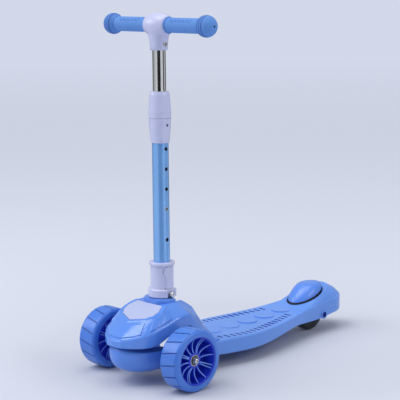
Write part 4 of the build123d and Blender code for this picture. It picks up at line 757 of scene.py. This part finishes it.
# ---------------------------------------------------------------- wheels
@dataclass
class FrontWheel:
    """Dished rim, radial ribs and bearing of one wide front wheel."""

    side: Side
    rib_turns: tuple[float, ...] = (4.0, -4.0, -31.0, -59.0)
    first_rib: float = 26.0
    sectors: int = 4
    rib_half: float = 1.35
    rib_sag: float = 6.0
    inner_sag: float = 3.0
    rib_taper: float = 0.8
    sag_power: float = 0.8
    rib_steps: int = 8
    wall: float = 3.0
    hub_radius: float = 15.0
    hub_recess: float = 9.5
    bearing_radius: float = 11.0
    dish_offset: float = 9.0       # the dish's inner face, inward of the rim's middle plane
    dish_wall: float = 3.0
    # (distance from the hub's face, radius)
    seal: Line = (
        (-0.6, 9.2), (-0.6, 6.4), (0.05, 6.6), (0.15, 7.8), (0.05, 9.0))
    race: Line = (
        (-0.3, 11.0), (-0.3, 9.1), (0.1, 9.2), (0.35, 9.6), (0.35, 10.5), (0.1, 11.0))
    body: str = field(init=False)
    inner_x: float = field(init=False)
    outer_x: float = field(init=False)
    radius: float = field(init=False)
    axle_y: float = field(init=False)
    axle_z: float = field(init=False)
    hub_face: float = field(init=False)

    def __post_init__(self) -> None:
        """Read the wheel's place from its CAD nodes."""
        low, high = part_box(f"front_rim_{self.side.label}")
        near, far = sorted((abs(low[0]), abs(high[0])))
        self.inner_x = near / MM
        self.outer_x = far / MM
        self.radius = (high[2] - low[2]) / 2 / MM
        self.axle_y = ((low[1] + high[1]) / 2 - AXLE_Y) / MM
        self.axle_z = (low[2] + high[2]) / 2 / MM
        self.body = f"wheel_{self.side.label}"
        self.hub_face = self.outer_x + 1.0 - self.hub_recess

    def build(self) -> None:
        """Make the rim and the bearing seals."""
        self.rim()
        self.seals()

    def rim(self) -> None:
        """Make barrel, dish, hub and ribs in place of the plain rim."""
        mesh = Mesh()
        lip = self.outer_x
        inside = self.radius - self.wall
        face = self.hub_face
        dish = (self.inner_x + lip) / 2 - self.dish_offset
        web = dish + self.dish_wall
        low = self.inner_x + 2.0
        hub, bore = self.hub_radius, self.bearing_radius + 0.05
        section = [(self.inner_x, self.radius), (self.inner_x, inside), (dish, inside - 1.0), (dish, hub),
                   (low, hub), (low, bore), (face, bore), (face + 0.4, self.bearing_radius + 1.2),
                   (face, hub - 0.8), (face - 1.0, hub), (web, hub + 1.0), (web, inside - 2.0),
                   (dish + 8.0, inside), (lip - 1.2, inside), (lip, inside + 1.0), (lip, self.radius)]
        mesh.lathe_x([(self.side.value * x, radius) for x, radius in section], self.axle_y, self.axle_z)
        for sector in range(self.sectors):
            for turn in self.rib_turns:
                degrees = self.first_rib + turn + 360.0 * sector / self.sectors
                self.rib(mesh, degrees, (dish, face - 0.8, lip - 2.5), -self.rib_sag, inside)
                self.rib(mesh, degrees, (dish, low + 1.5, self.inner_x + 2.5), self.inner_sag, inside)
        rim = mesh.build(f"rim_{self.side.label}", self.body, (RIM_BLUE, RIB_HIGHLIGHT_BLUE), "rim_blue")
        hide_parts(f"front_rim_{self.side.label}")

    def rib(self, mesh: Mesh, degrees: float, depths: tuple[float, float, float], sag: float,
            inside: float) -> None:
        """Add one rib whose outer edge sags between hub and barrel.

        Args:
            mesh: The mesh to add to.
            degrees: Direction of the rib, from the rear horizontal.
            depths: Distances of the dish, the hub's face and the barrel's edge from the middle plane.
            sag: How far the crest moves outward midway; negative is inward.
            inside: Inner radius of the barrel.
        """
        turn = math.radians(degrees)
        along = (-math.cos(turn), math.sin(turn))
        across = (math.sin(turn), math.cos(turn))
        dish, hub_crest, barrel_crest = depths
        lower = 0.5 if dish > hub_crest else -0.5
        rows = []
        for step in range(self.rib_steps + 1):
            share = step / self.rib_steps
            radius = mix(self.hub_radius - 0.6, inside + 0.5, share)
            crest = mix(hub_crest, barrel_crest, share) + sag * math.sin(math.pi * share) ** self.sag_power
            half = self.rib_half * mix(1.0, self.rib_taper, share)
            row = []
            for offset, depth in ((-half * 1.25, dish), (-half, crest + lower), (-half * 0.5, crest),
                                  (half * 0.5, crest), (half, crest + lower), (half * 1.25, dish)):
                row.append((self.side.value * depth, self.axle_y + radius * along[0] + offset * across[0],
                            self.axle_z + radius * along[1] + offset * across[1]))
            rows.append(row)
        indices = [[mesh.point(*spot) for spot in row] for row in rows]
        for low, high in zip(indices, indices[1:]):
            for strip in range(5):
                corners = (low[strip], low[strip + 1], high[strip + 1], high[strip])
                # the crest strips take the painted highlight blue; the side strips keep the dish's blue
                mesh.face(corners, 1 if 0 < strip < 4 else 0)

    def seals(self) -> None:
        """Make the dark seal and the bright inner race over the bearing's outer face."""
        mesh = Mesh()
        for paint, section in enumerate((self.seal, self.race)):
            profile = [(self.side.value * (self.hub_face + lift), radius) for lift, radius in section]
            mesh.lathe_x(profile, self.axle_y, self.axle_z, 64, paint)
        mesh.build(f"bearing_seal_{self.side.label}", self.body, (NYLON_AND_SHADE, BEARING_STEEL), "bearing_steel")


# ---------------------------------------------------------------- front cover
@dataclass
class HoodCover:
    """Front cover: convex rim band, raised facets, cap frame, neck ring and saddle."""

    # columns from the nose to the rear: the rim's x and y, and the crown's x, y and z,
    # where a z of 0 is a point on the cap's plane
    columns: tuple[tuple[float, float, float, float, float], ...] = (
        (0, -90.5, 0, -55, 0), (12, -89.1, 9.5, -51.3, 0), (19, -88, 15, -49.3, 0), (38, -76, 29, -43.3, 0),
        (48, -65.8, 37, -39, 0), (49.2, -64.3, 37.5, -38.2, 0), (54, -58, 42.6, -31, 0),
        (58.5, -48.2, 46.5, -25, 0), (59.2, -46.6, 47, -24, 0), (63, -38, 48.5, -16.5, 0),
        (65.2, -24, 49.5, -9, 0), (66.3, -16, 49, -3, 0),
        (67, -10, 46.5, 3, 0), (68.1, 3.5, 44, 8, 0), (68.25, 5, 43.5, 9, 0), (69, 15, 41, 13, 147.5),
        (68.8, 32, 38.2, 26, 149.0), (68, 50, 35.2, 43, 149.4), (67.2, 62, 32.5, 53, 149.2),
        (66.5, 72, 29.6, 62, 148.4), (65.4, 86, 29.6, 76, 141.0), (64.3, 104, 29.6, 93, 129.0),
        (63.2, 122, 29.8, 119, 95.0), (62, 138, 30.0, 146, 60.0))
    rim_line: Line = (
        (-95, 79.5), (-50, 79.5), (-30, 83), (0, 98), (26, 108), (50, 106), (76, 92), (100, 72), (118, 58),
        (160, 58))
    # the band from the bottom up: inset, height above the lower edge or height from the top
    band_rows: tuple[tuple[float, float | None, float], ...] = (
        (1.2, 0.0, 0.0), (0.25, 1.0, 0.0), (0.0, 2.8, 0.0), (0.0, None, -5.0), (0.5, None, -2.0),
        (1.4, None, -0.5), (2.6, None, 0.0), (3.3, None, -1.3), (3.6, None, 0.2))
    band_least: float = 4.0
    band_lip: float = 2.9
    band_limits: tuple[float, float] = (61.0, 130.5)
    # y and z of a corner, and the slope from it: up from the nose and down to the deck
    band_rise: Point = (-90.5, 94.5, 0.31)
    band_fall: Point = (54.0, 128.0, -1.02)
    facet_shares: tuple[float, ...] = (0.0, 0.09, 0.12, 0.35, 0.6, 0.80, 0.84, 1.0)
    panels: tuple[tuple[int, int], ...] = ((0, 4), (8, 13))      # first and last column of each
    panel_shares: tuple[float, float] = (0.1, 0.82)
    border: Line = ((0.25, 1.4), (0.85, 1.5), (1.0, 0.6), (1.0, -2.0))
    cap_line: Line = (
        (0, -46), (32, -34), (41, -23), (43, -10), (35, 7))
    cap_rear_y: float = 8.0
    cap_rear_z: float = 147.0
    cap_slope: float = 0.42
    ring_half: float = 34.5
    ring_half_length: float = 37.0
    ring_y: float = 40.0
    ring_top: float = corners_of("hood")[1][2]
    saddle_half: float = 29.6
    saddle_floor: float = 129.0
    ring_steps: int = 26
    ring_sweep: float = 95.5
    panel_rise: float = 1.9
    swell: float = 0.5
    lift_out: float = 0.75
    lift_up: float = 0.66
    wall: float = 2.2
    cap_columns: int = 15          # the cap's border ends at this column, the shoulder at the next
    shoulder_columns: int = 20
    shoulder: Point = (35.0, 7.0, 146.6)
    gusset: tuple[Point, ...] = ((30.0, 26.0, 149.0), (28.5, 20.0, 148.6), (22.0, 13.5, 147.8),
                                 (16.0, 8.2, 147.0))

    def build(self) -> None:
        """Make the cover in place of the plain hood."""
        mesh = Mesh()
        self.band(mesh)
        self.facets(mesh)
        self.cap_frame(mesh)
        self.saddle(mesh)
        cover = mesh.build("hood_cover", "frame", (HOOD_BLUE,), "body_blue", smooth=8.0, mirror=True)
        shell = cover.modifiers.new("wall", "SOLIDIFY")
        shell.thickness = self.wall * MM
        shell.offset = -1.0
        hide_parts("hood")
        ring = Mesh()
        self.neck_ring(ring)
        ring.build("neck_ring", "frame", (BODY_BLUE,), "body_blue", smooth=40.0, mirror=True)

    def band_height(self, y: float) -> float:
        """Return the height of the band's upper edge.

        Args:
            y: Distance behind the front axle.

        Returns:
            The height: it rises from the nose, runs level and falls to the deck.
        """
        lowest, highest = self.band_limits
        rise, fall = (height + slope * (y - start)
                      for start, height, slope in (self.band_rise, self.band_fall))
        return max(lowest, min(rise, fall, highest))

    def cap_height(self, y: float) -> float:
        """Return the height of the cap's plane at y."""
        return self.cap_rear_z - self.cap_slope * (self.cap_rear_y - y)

    def normal(self, index: int) -> tuple[float, float]:
        """Find which way the rim faces.

        Args:
            index: The column.

        Returns:
            The outward direction in plan.
        """
        before = self.columns[max(index - 1, 0)]
        after = self.columns[min(index + 1, len(self.columns) - 1)]
        along = (after[0] - before[0], after[1] - before[1])
        if index == 0:
            return (0.0, -1.0)
        length = math.hypot(*along)
        return (along[1] / length, -along[0] / length)

    def band_point(self, index: int, inset: float, z: float) -> Point:
        """Return a point of the band.

        Args:
            index: The column.
            inset: How far it is set in from the rim's outline.
            z: Its height.

        Returns:
            The point.
        """
        x, y = self.columns[index][:2]
        out = self.normal(index)
        return (max(0.0, x - out[0] * inset) if index else 0.0, y - out[1] * inset, z)

    def band(self, mesh: Mesh) -> None:
        """Add the convex band, with a fine groove above it.

        Args:
            mesh: The mesh to add to.
        """
        rows: list[list[Point]] = []
        for inset, from_low, from_top in self.band_rows:
            row = []
            for index, column in enumerate(self.columns):
                low = height_at(column[1], self.rim_line)
                top = max(self.band_height(column[1]), low + self.band_least)
                z = low + from_low if from_low is not None else max(top + from_top, low + self.band_lip)
                row.append(self.band_point(index, inset, z))
            rows.append(row)
        mesh.rings(rows, closed=False)

    def surface(self, index: int, share: float, rise: float = 0.0) -> Point:
        """Return a point between band and crown.

        Args:
            index: The column.
            share: 0 at the band, 1 at the crown.
            rise: How far the point stands out from the facet.

        Returns:
            The point.
        """
        column = self.columns[index]
        edge = height_at(column[1], self.rim_line)
        low_z = max(self.band_height(column[1]), edge + self.band_least) + self.band_rows[-1][2]
        low = self.band_point(index, self.band_rows[-1][0], low_z)
        crown = (column[2], column[3], column[4] or self.cap_height(column[3]))
        swell = self.swell * math.sin(math.pi * share)
        out = self.normal(index)
        lift = rise + swell
        return (0.0 if index == 0 else mix(low[0], crown[0], share) + out[0] * lift * self.lift_out,
                mix(low[1], crown[1], share) + out[1] * lift * self.lift_out,
                mix(low[2], crown[2], share) + lift * self.lift_up)

    def facets(self, mesh: Mesh) -> None:
        """Add the faceted flanks, with a raised front panel and a raised panel on each side.

        Args:
            mesh: The mesh to add to.
        """
        rows = []
        start, end = self.panel_shares
        for share in self.facet_shares:
            row = []
            for index in range(len(self.columns)):
                on_panel = any(first <= index <= last for first, last in self.panels) and start < share < end
                row.append(self.surface(index, share, self.panel_rise if on_panel else 0.0))
            rows.append(row)
        mesh.rings(rows, closed=False)

    def cap_frame(self, mesh: Mesh) -> None:
        """Add the raised border between the facets and the cap, and the shoulder beside the neck.

        Args:
            mesh: The mesh to add to.
        """
        count = self.cap_columns
        crowns = [self.columns[index] for index in range(count + 1)]
        outer = [(x, y, z or self.cap_height(y)) for _, _, x, y, z in crowns]
        inner = []
        for step in range(count + 1):
            place = step / count * (len(self.cap_line) - 1)
            first = min(int(place), len(self.cap_line) - 2)
            (x0, y0), (x1, y1) = self.cap_line[first], self.cap_line[first + 1]
            x, y = mix(x0, x1, place - first), mix(y0, y1, place - first)
            inner.append((x * 1.015, y - 0.5, self.cap_height(y)))
        rows = [outer]
        for share, rise in self.border:
            rows.append([(mix(a[0], b[0], share), mix(a[1], b[1], share), mix(a[2], b[2], share) + rise)
                         for a, b in zip(outer, inner)])
        mesh.rings(rows, closed=False)
        beside = [(x, y, z) for _, _, x, y, z in self.columns[count:self.shoulder_columns]]
        edge_x, _, edge_z = self.gusset[0]
        inside = [self.shoulder] + [(edge_x, y, edge_z) for _, y, _ in beside[1:]]
        mesh.rings([beside, inside], closed=False)
        mesh.polygon((self.shoulder, *self.gusset))

    def saddle(self, mesh: Mesh) -> None:
        """Add the recess at the rear that the folded stem swings into.

        Args:
            mesh: The mesh to add to.
        """
        half, floor = self.saddle_half, self.saddle_floor
        mesh.polygon([(half, 44, 149.2), (half, 62, 148.4), (half, 76, 141), (half, 93, floor),
                      (half, 44, floor)])
        mesh.polygon([(0, 54, floor), (half, 54, floor), (half, 93, floor), (0, 93, floor)])
        mesh.polygon([(0, 93, floor), (half, 93, floor), (29.8, 119, 95), (0, 119, 95)])
        mesh.polygon([(0, 119, 95), (29.8, 119, 95), (30, 146, 60), (0, 146, 60)])

    def neck_ring(self, mesh: Mesh) -> None:
        """Add the thick ring round the foot of the stem, open to the rear.

        Args:
            mesh: The mesh to add to.
        """
        # half width, half length and height, up the outside and down into the opening
        wide, long, top = self.ring_half, self.ring_half_length, self.ring_top
        sections = ((wide - 0.6, long - 0.6, 143.0), (wide, long, 146.0), (wide, long, top - 2.0),
                    (wide - 0.6, long - 0.6, top - 0.6), (wide - 2.0, long - 2.0, top), (28.6, 12.4, top),
                    (28.6, 12.0, top - 16.0))
        rows: list[list[Point]] = []
        for half, length, z in sections:
            row = []
            for step in range(self.ring_steps + 1):
                turn = math.radians(self.ring_sweep) * step / self.ring_steps
                y = self.ring_y - length * math.cos(turn)
                row.append((half * math.sin(turn), max(y, self.cap_rear_y - 0.5), z))
            rows.append(row)
        mesh.rings(rows, closed=False)
        mesh.polygon([row[-1] for row in rows])


# ---------------------------------------------------------------- steering bowl
@dataclass
class SteeringBowl:
    """Smooth rounded skin over the steering bracket."""

    half: float = 57.0
    nose: float = -corners_of("steering_bracket")[0][1]
    top: float = 68.0
    bottom: float = corners_of("steering_bracket")[0][2]
    keel: float = 20.0
    rounding: float = 2.9
    skin: float = 0.3
    rear_y: float = 20.0
    rear_top_y: float = -4.0       # the rear edge at the top, and how it falls back below
    rear_rake: float = 2.4
    crown: float = 79.0
    crown_fall: float = 0.215
    # (inset, share of the crown's rise)
    crown_rows: Line = (
        (0.7, 0.12), (1.4, 0.35), (2.6, 0.62), (4.6, 0.86), (8.0, 1.0), (16.0, 1.0))
    levels: int = 14
    level_power: float = 1.5       # above 1 sets the levels closer together near the bottom
    base_shares: tuple[float, float] = (0.55, 0.86)      # rings of the flat underside

    def outline(self, z: float, grow: float, steps: int = 40) -> list[Point]:
        """Return the skin's plan at one height.

        Args:
            z: The height.
            grow: How far it stands outside the bracket.
            steps: Sections along it.

        Returns:
            Points from the rear left round the nose to the rear right.
        """
        drop = max(0.0, (self.top - z) / (self.top - self.keel))
        scale = max(0.0, 1 - drop ** self.rounding) ** (1 / self.rounding)
        half, nose = self.half * scale + grow, self.nose * scale + grow
        rear = min(self.rear_y, self.rear_top_y + (self.top - z) * self.rear_rake) - 0.5
        points = [(half, mix(rear, 0.0, step / 4), z) for step in range(4)]
        for step in range(steps + 1):
            turn = math.pi * step / steps
            points.append((half * math.cos(turn), -nose * math.sin(turn), z))
        points.extend((-half, mix(0.0, rear, step / 4), z) for step in range(1, 5))
        return points

    def build(self) -> None:
        """Make the skin."""
        mesh = Mesh()
        heights = [self.bottom - 0.05]
        for step in range(self.levels + 1):
            heights.append(mix(self.bottom + 0.3, self.top - 1.2, (step / self.levels) ** self.level_power))
        rows = [self.outline(z, self.skin) for z in heights]
        base = [[(x * share, y * share, self.bottom - 0.1) for x, y, _ in rows[0]]
                for share in self.base_shares]
        rows = base + rows
        rows.append(self.outline(self.top - 0.3, self.skin - 0.4))
        for inset, share in self.crown_rows:
            rows.append([(x, y, z + share * max(0.0, self.crown - self.crown_fall * abs(x) - z))
                         for x, y, z in self.outline(self.top + 0.15, self.skin - inset)])
        mesh.rings(rows, closed=False)
        mesh.polygon(base[0])
        mesh.build("bowl_skin", "steering", (BODY_BLUE,), "body_blue", smooth=60.0)


# ---------------------------------------------------------------- brake
@dataclass
class BrakeDome:
    """Smooth domed skin over the brake pedal; its lowest hoops are painted dark as the shadow of the gap
    round its foot.
    """

    steps: int = 56
    gap_shadow_hoops: int = 3
    # half width, front y, front z, rear y, rear z
    hoops: tuple[tuple[float, float, float, float, float], ...] = (
        (31.0, 429.0, 59.5, 515.0, 85.5), (31.15, 428.9, 66.0, 515.1, 93.0),
        (31.05, 429.5, 68.6, 515.1, 97.2), (30.9, 430.4, 71.5, 515.1, 98.0),
        (30.2, 433.5, 77.0, 514.9, 99.2), (29.0, 439.0, 83.6, 514.5, 100.9),
        (27.0, 446.5, 91.5, 513.5, 102.4), (24.2, 454.0, 98.0, 511.6, 103.8),
        (20.6, 461.0, 102.0, 507.5, 104.5), (13.5, 470.0, 104.2, 499.0, 104.9),
        (5.0, 480.0, 104.9, 489.0, 105.0))

    def build(self) -> None:
        """Make the skin."""
        mesh = Mesh()
        rows = []
        for half, front_y, front_z, rear_y, rear_z in self.hoops:
            row = []
            for cosine, sine in circle(self.steps):
                along = (1 - cosine) / 2
                row.append((half * sine, mix(front_y, rear_y, along), mix(front_z, rear_z, along)))
            rows.append(row)
        # painted shadow: the lowest hoops take the black nylon finish to draw the shade in the gap round the
        # dome's foot
        mesh.rings(rows[:self.gap_shadow_hoops], paint=1)
        mesh.rings(rows[self.gap_shadow_hoops - 1:])
        mesh.face(range(len(mesh.points) - self.steps, len(mesh.points)))
        mesh.build("brake_dome", "brake", (BODY_BLUE, NYLON_AND_SHADE), "body_blue", smooth=60.0)


# ---------------------------------------------------------------- handlebar
@dataclass
class TeeHead:
    """Bulb-shaped joint that carries the handlebar on top of the stem."""

    hub: Line = (
        (0.0, 23.9), (5.0, 23.7), (10.0, 23.1), (15.0, 22.0), (19.0, 20.7), (23.0, 19.0), (26.0, 17.4),
        (27.0, 16.4), (27.0, 10.0))
    neck: Line = (
        (634.8, 14.0), (634.8, 16.1), (635.3, 16.7), (645.0, 17.2), (655.0, 18.2), (664.0, 20.3),
        (671.0, 22.2), (677.0, 23.2), (682.0, 23.2))
    steps: int = 72

    def build(self) -> None:
        """Make the joint in place of the plain one."""
        mesh = Mesh()
        profile = [(-x, radius) for x, radius in reversed(self.hub)] + list(self.hub[1:])
        turns = circle(self.steps)
        mesh.rings([[(x, STEM_Y + radius * cosine, BAR_Z + radius * sine) for cosine, sine in turns]
                    for x, radius in profile])
        mesh.rings([[(radius * cosine, STEM_Y + radius * sine, z) for cosine, sine in turns]
                    for z, radius in self.neck])
        head = mesh.build("tee_head", "handlebar", (TEE_PALE,), "pale_lavender", smooth=50.0)
        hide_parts("t_joint")


@dataclass
class GripVents:
    """Dark nylon disc in the middle of each grip's ball end: painted shade of the vent opening."""

    ball_x: float = 127.0
    ball_radius: float = corners_of("grip_left")[1][2] - BAR_Z
    radii: tuple[float, ...] = (2.1, 1.2, 1.2)
    depths: tuple[float, ...] = (0.03, 0.03, -3.0)

    def build(self) -> None:
        """Make both vents."""
        for side in Side:
            mesh = Mesh()
            profile = []
            for radius, depth in zip(self.radii, self.depths):
                x = self.ball_x + math.sqrt(self.ball_radius ** 2 - radius ** 2) + depth
                profile.append((side.value * x, radius))
            mesh.lathe_x(profile, STEM_Y, BAR_Z, 24)
            mesh.build(f"grip_vent_{side.label}", "handlebar", (NYLON_AND_SHADE,), "black_nylon")


@dataclass
class HoleRings:
    """Dark rings round the row of height holes in the outer tube: painted shade that makes the holes look
    wider.
    """

    heights: tuple[float, ...] = (447.0, 408.0, 369.0, 269.8)
    pin_height: float = middle_of("height_pin")[2]
    tube_radius: float = corners_of("outer_tube")[1][0]
    radii: tuple[float, ...] = (2.6, 2.6, 3.0, 3.7, 3.9)
    lifts: tuple[float, ...] = (-1.2, 0.1, 0.35, 0.3, -0.1)
    steps: int = 28

    def build(self) -> None:
        """Make the dark painted-shade rings round the holes and the bright zinc one round the height pin."""
        # painted shade: black rings round the empty holes
        self.make_rings("hole_shade_rings", self.heights, NYLON_AND_SHADE, "black_nylon")
        self.make_rings("pin_liner", (self.pin_height,), ZINC, "zinc_steel")

    def make_rings(self, name: str, heights: Sequence[float], finish: Any, slot: str) -> None:
        """Make rings round the holes at some heights.

        Args:
            name: Name of the piece.
            heights: Heights of the holes.
            finish: The rings' finish.
            slot: The material slot's name.
        """
        mesh = Mesh()
        for height in heights:
            rows = []
            for radius, lift in zip(self.radii, self.lifts):
                row = []
                for cosine, sine in circle(self.steps):
                    across = radius * cosine
                    x = math.sqrt((self.tube_radius + lift) ** 2 - across ** 2)
                    row.append((x, STEM_Y + across, height + radius * sine))
                rows.append(row)
            mesh.rings(rows)
        mesh.build(name, "stem", (finish,), slot, smooth=50.0)


# ---------------------------------------------------------------- deck
@dataclass
class AxleRecessShade:
    """Dark blue cups lining the mouths of the rear axle's bosses: painted shade of the recesses."""

    axle_y: float = middle_of("rear_axle_bolt")[1]
    axle_z: float = middle_of("rear_axle_bolt")[2]
    steps: int = 48
    # (distance from the middle plane, radius)
    profile: Line = (
        (48.1, 6.25), (46.6, 6.15), (44.0, 5.9), (43.4, 5.2), (43.4, 0.2))

    def build(self) -> None:
        """Make a cup on each side."""
        for side in Side:
            mesh = Mesh()
            turns = circle(self.steps)
            mesh.rings([[(side.value * x, self.axle_y + radius * cosine, self.axle_z + radius * sine)
                         for x, radius in self.profile] for cosine, sine in (*turns, turns[0])], closed=False)
            mesh.build(f"axle_recess_shade_{side.label}", "frame", (RECESS_SHADE_BLUE,), "rim_blue")


@dataclass
class GrooveShade:
    """Dark floors and walls laid in the cross grooves along both sides of the deck's top: painted shade of
    the grooves.
    """

    first_y: float = 155.0
    pitch: float = 13.6
    count: int = 17
    widest_y: float = 222.0
    widest_x: float = 62.0
    draw_aft: float = 26.0
    draw_fore: float = 16.0
    aft_power: float = 1.35
    fore_power: float = 2.2
    length: float = 17.0
    width: float = 5.0
    depth: float = 1.6
    clear: float = 0.04
    floor_gap: float = 0.06        # the floor lies this far above the groove's own
    edge_gap: float = 0.25         # and its walls end this far below the deck's top
    # (y, z) of the deck's top
    tops: Line = (
        (0.0, 58.0), (160.0, 58.0), (250.0, 56.8), (350.0, 57.7), (392.0, 60.0))

    def build(self) -> None:
        """Lay a dark floor and dark walls in each groove, as painted shade."""
        mesh = Mesh()
        last_y = self.first_y + self.pitch * (self.count - 1)
        for index in range(self.count):
            y = self.first_y + self.pitch * index
            aft = max(0.0, y - self.widest_y) / (last_y - self.widest_y)
            fore = max(0.0, self.widest_y - y) / (self.widest_y - self.first_y)
            drawn = self.draw_aft * aft ** self.aft_power + self.draw_fore * fore ** self.fore_power
            x = self.widest_x - drawn
            floor = height_at(y, self.tops) - self.depth + self.floor_gap
            half, reach = self.length / 2 - self.clear, self.width / 2 - self.clear
            low = [(x - half, y - reach, floor), (x + half, y - reach, floor), (x + half, y + reach, floor),
                   (x - half, y + reach, floor)]
            high = [(spot[0], spot[1], height_at(spot[1], self.tops) - self.edge_gap) for spot in low]
            mesh.rings([low, high])
            mesh.polygon(low)
        mesh.build("groove_shade", "frame", (GROOVE_SHADE_BLUE,), "deck_blue", mirror=True)


# ---------------------------------------------------------------- studio
@dataclass
class Studio:
    """Plain pale floor, soft daylight and the camera."""

    floor_colour: Colour = srgb(214, 218, 230)
    sky_colour: Colour = srgb(232, 236, 245)
    sky_strength: float = 0.55
    floor_half: float = 90.0
    near_shade: float = 0.86
    far_shade: float = 1.26
    near_reach: float = 0.4
    far_reach: float = 9.0
    patch_scale: float = 1.5
    patch_share: float = 0.02
    band_reach: float = 0.9
    band_tint: Colour = (1.0, 0.99, 0.96)
    view_across: float = 0.705
    view_along: float = -0.709
    # bands by bearing from the line of sight, in degrees, as (start, shade)
    bands: Line = (
        (-180.0, 0.1), (-128.0, 0.35), (-100.0, 0.75), (-62.0, 1.0), (-31.0, 0.005), (24.0, 1.0),
        (66.0, 0.06), (88.0, 0.6), (125.0, 0.15))
    camera_place: Point = (1.7960, -1.8967, 0.7779)
    camera_right: Point = (0.71022, 0.70392, -0.00875)
    camera_up: Point = (-0.11521, 0.12848, 0.98500)
    camera_back: Point = (0.69449, -0.69856, 0.17235)
    lens: float = 116.8
    key_power: float = 1.15
    key_angle: float = 35.0
    key_place: Point = (-0.6, -1.0, 2.6)
    key_target: Point = (0.0, 0.0, 0.3)
    panel_target: Point = (0.0, -0.05, 0.2)
    panel_height: float = 0.6      # as a share of a panel's width
    # name, place, width and power of each panel lamp
    panels: tuple[tuple[str, Point, float, float], ...] = (
        ("panel_left", (-1.6, -1.7, 1.5), 1.6, 16.0), ("panel_right", (2.2, 0.6, 1.6), 1.4, 12.0),
        ("panel_top", (0.2, 0.2, 2.6), 1.8, 14.0))

    def build(self) -> None:
        """Make the floor, the lights, the world and the camera."""
        self.floor()
        self.world()
        self.lamps()
        self.camera()
        bpy.context.scene.view_settings.view_transform = "Standard"

    def floor(self) -> None:
        """Lay a wide floor that shows the studio's colour."""
        half = self.floor_half
        data = bpy.data.meshes.new("studio_floor")
        corners = [(-half, -half, 0.0), (half, -half, 0.0), (half, half, 0.0), (-half, half, 0.0)]
        data.from_pydata(corners, [], [(0, 1, 2, 3)])
        floor = bpy.data.objects.new("studio_floor", data)
        bpy.context.collection.objects.link(floor)
        graph = Graph("studio_floor")
        across, along = graph.axis("X"), graph.axis("Y")
        reach = graph.root(across * across + along * along)
        away = graph.root((reach - self.near_reach) / self.far_reach).clamp(0.0, 1.0)
        tone = graph.blend(away, shade_of(self.floor_colour, self.near_shade),
                           shade_of(self.floor_colour, self.far_shade))
        tone = graph.blend(graph.noise(self.patch_scale, 2.0) * self.patch_share, tone, (1.0, 1.0, 1.0))
        data.materials.append(graph.finish({
            "Base Color": self.mirror_bands(graph, across, along, reach, tone), "Roughness": 0.9,
            "Specular IOR Level": 0.1}))

    def mirror_bands(self, graph: Graph, across: Socket, along: Socket, reach: Socket,
                     tone: Socket) -> Socket:
        """Let mirror-like metal see light and dark bands of a studio in the distance.

        Args:
            graph: The floor's nodes.
            across: X on the floor.
            along: Y on the floor.
            reach: Distance from the middle of the floor.
            tone: The floor's own colour.

        Returns:
            The colour of the floor, banded for glossy rays alone.
        """
        bearing = graph.angle(along * self.view_across - across * self.view_along,
                              across * self.view_across + along * self.view_along)
        bands = None
        for edge, shade in self.bands:
            colour = (shade * self.band_tint[0], shade * self.band_tint[1], shade * self.band_tint[2])
            bands = colour if bands is None else graph.blend(bearing.over(math.radians(edge)), bands, colour)
        glossy = graph.node("ShaderNodeLightPath", {}, {}, "Is Glossy Ray")
        return graph.blend(glossy * reach.over(self.band_reach), tone, bands)

    def world(self) -> None:
        """Give an even pale sky."""
        world = bpy.data.worlds.new("studio")
        bpy.context.scene.world = world
        graph = Graph("studio", world)
        lighting = graph.node("ShaderNodeBackground", {},
                              {"Color": self.sky_colour, "Strength": self.sky_strength})
        shown = graph.node("ShaderNodeBackground", {}, {"Color": self.floor_colour, "Strength": 1.0})
        seen = graph.node("ShaderNodeLightPath", {}, {}, "Is Camera Ray")
        graph.node_output(graph.node("ShaderNodeMixShader", {}, {0: seen, 1: lighting, 2: shown}),
                          "ShaderNodeOutputWorld")

    def lamps(self) -> None:
        """Hang a broad key light, and panels whose reflections draw the glossy edges."""
        key = bpy.data.lights.new("key", "SUN")
        key.energy = self.key_power
        key.angle = math.radians(self.key_angle)
        self.hang(key, self.key_place, self.key_target)
        for name, place, size, power in self.panels:
            panel = bpy.data.lights.new(name, "AREA")
            panel.shape = "RECTANGLE"
            panel.size = size
            panel.size_y = size * self.panel_height
            panel.energy = power
            self.hang(panel, place, self.panel_target)

    def hang(self, light: bpy.types.Light, place: Point, target: Point) -> None:
        """Place a lamp and aim it.

        Args:
            light: The lamp's data.
            place: Where it hangs.
            target: What it points at.
        """
        lamp = bpy.data.objects.new(light.name, light)
        lamp.location = place
        lamp.rotation_mode = "QUATERNION"
        lamp.rotation_quaternion = (Vector(target) - Vector(place)).to_track_quat("-Z", "Y")
        bpy.context.collection.objects.link(lamp)

    def camera(self) -> None:
        """Set the camera at the viewing angle, a little above and to the front left."""
        data = bpy.data.cameras.new("view")
        data.lens = self.lens
        data.sensor_width = 36.0
        data.clip_start = 0.05
        data.clip_end = 300.0
        camera = bpy.data.objects.new("view", data)
        bpy.context.collection.objects.link(camera)
        axes = zip(self.camera_right, self.camera_up, self.camera_back)
        rows = [(*axis, place) for axis, place in zip(axes, self.camera_place)]
        camera.matrix_world = Matrix((*rows, (0.0, 0.0, 0.0, 1.0)))
        bpy.context.scene.camera = camera


def main() -> None:
    """Build every sub-assembly, then the studio."""
    logging.basicConfig(level=logging.INFO, format="%(name)s %(message)s")
    for assembly in (CarriedOver(), FrontWheel(Side.LEFT), FrontWheel(Side.RIGHT), HoodCover(),
                     SteeringBowl(), BrakeDome(), TeeHead(), GripVents(), HoleRings(), AxleRecessShade(),
                     GrooveShade(), Studio()):
        assembly.build()
        LOG.info("%s built", type(assembly).__name__)


if __name__ == "__main__":
    main()
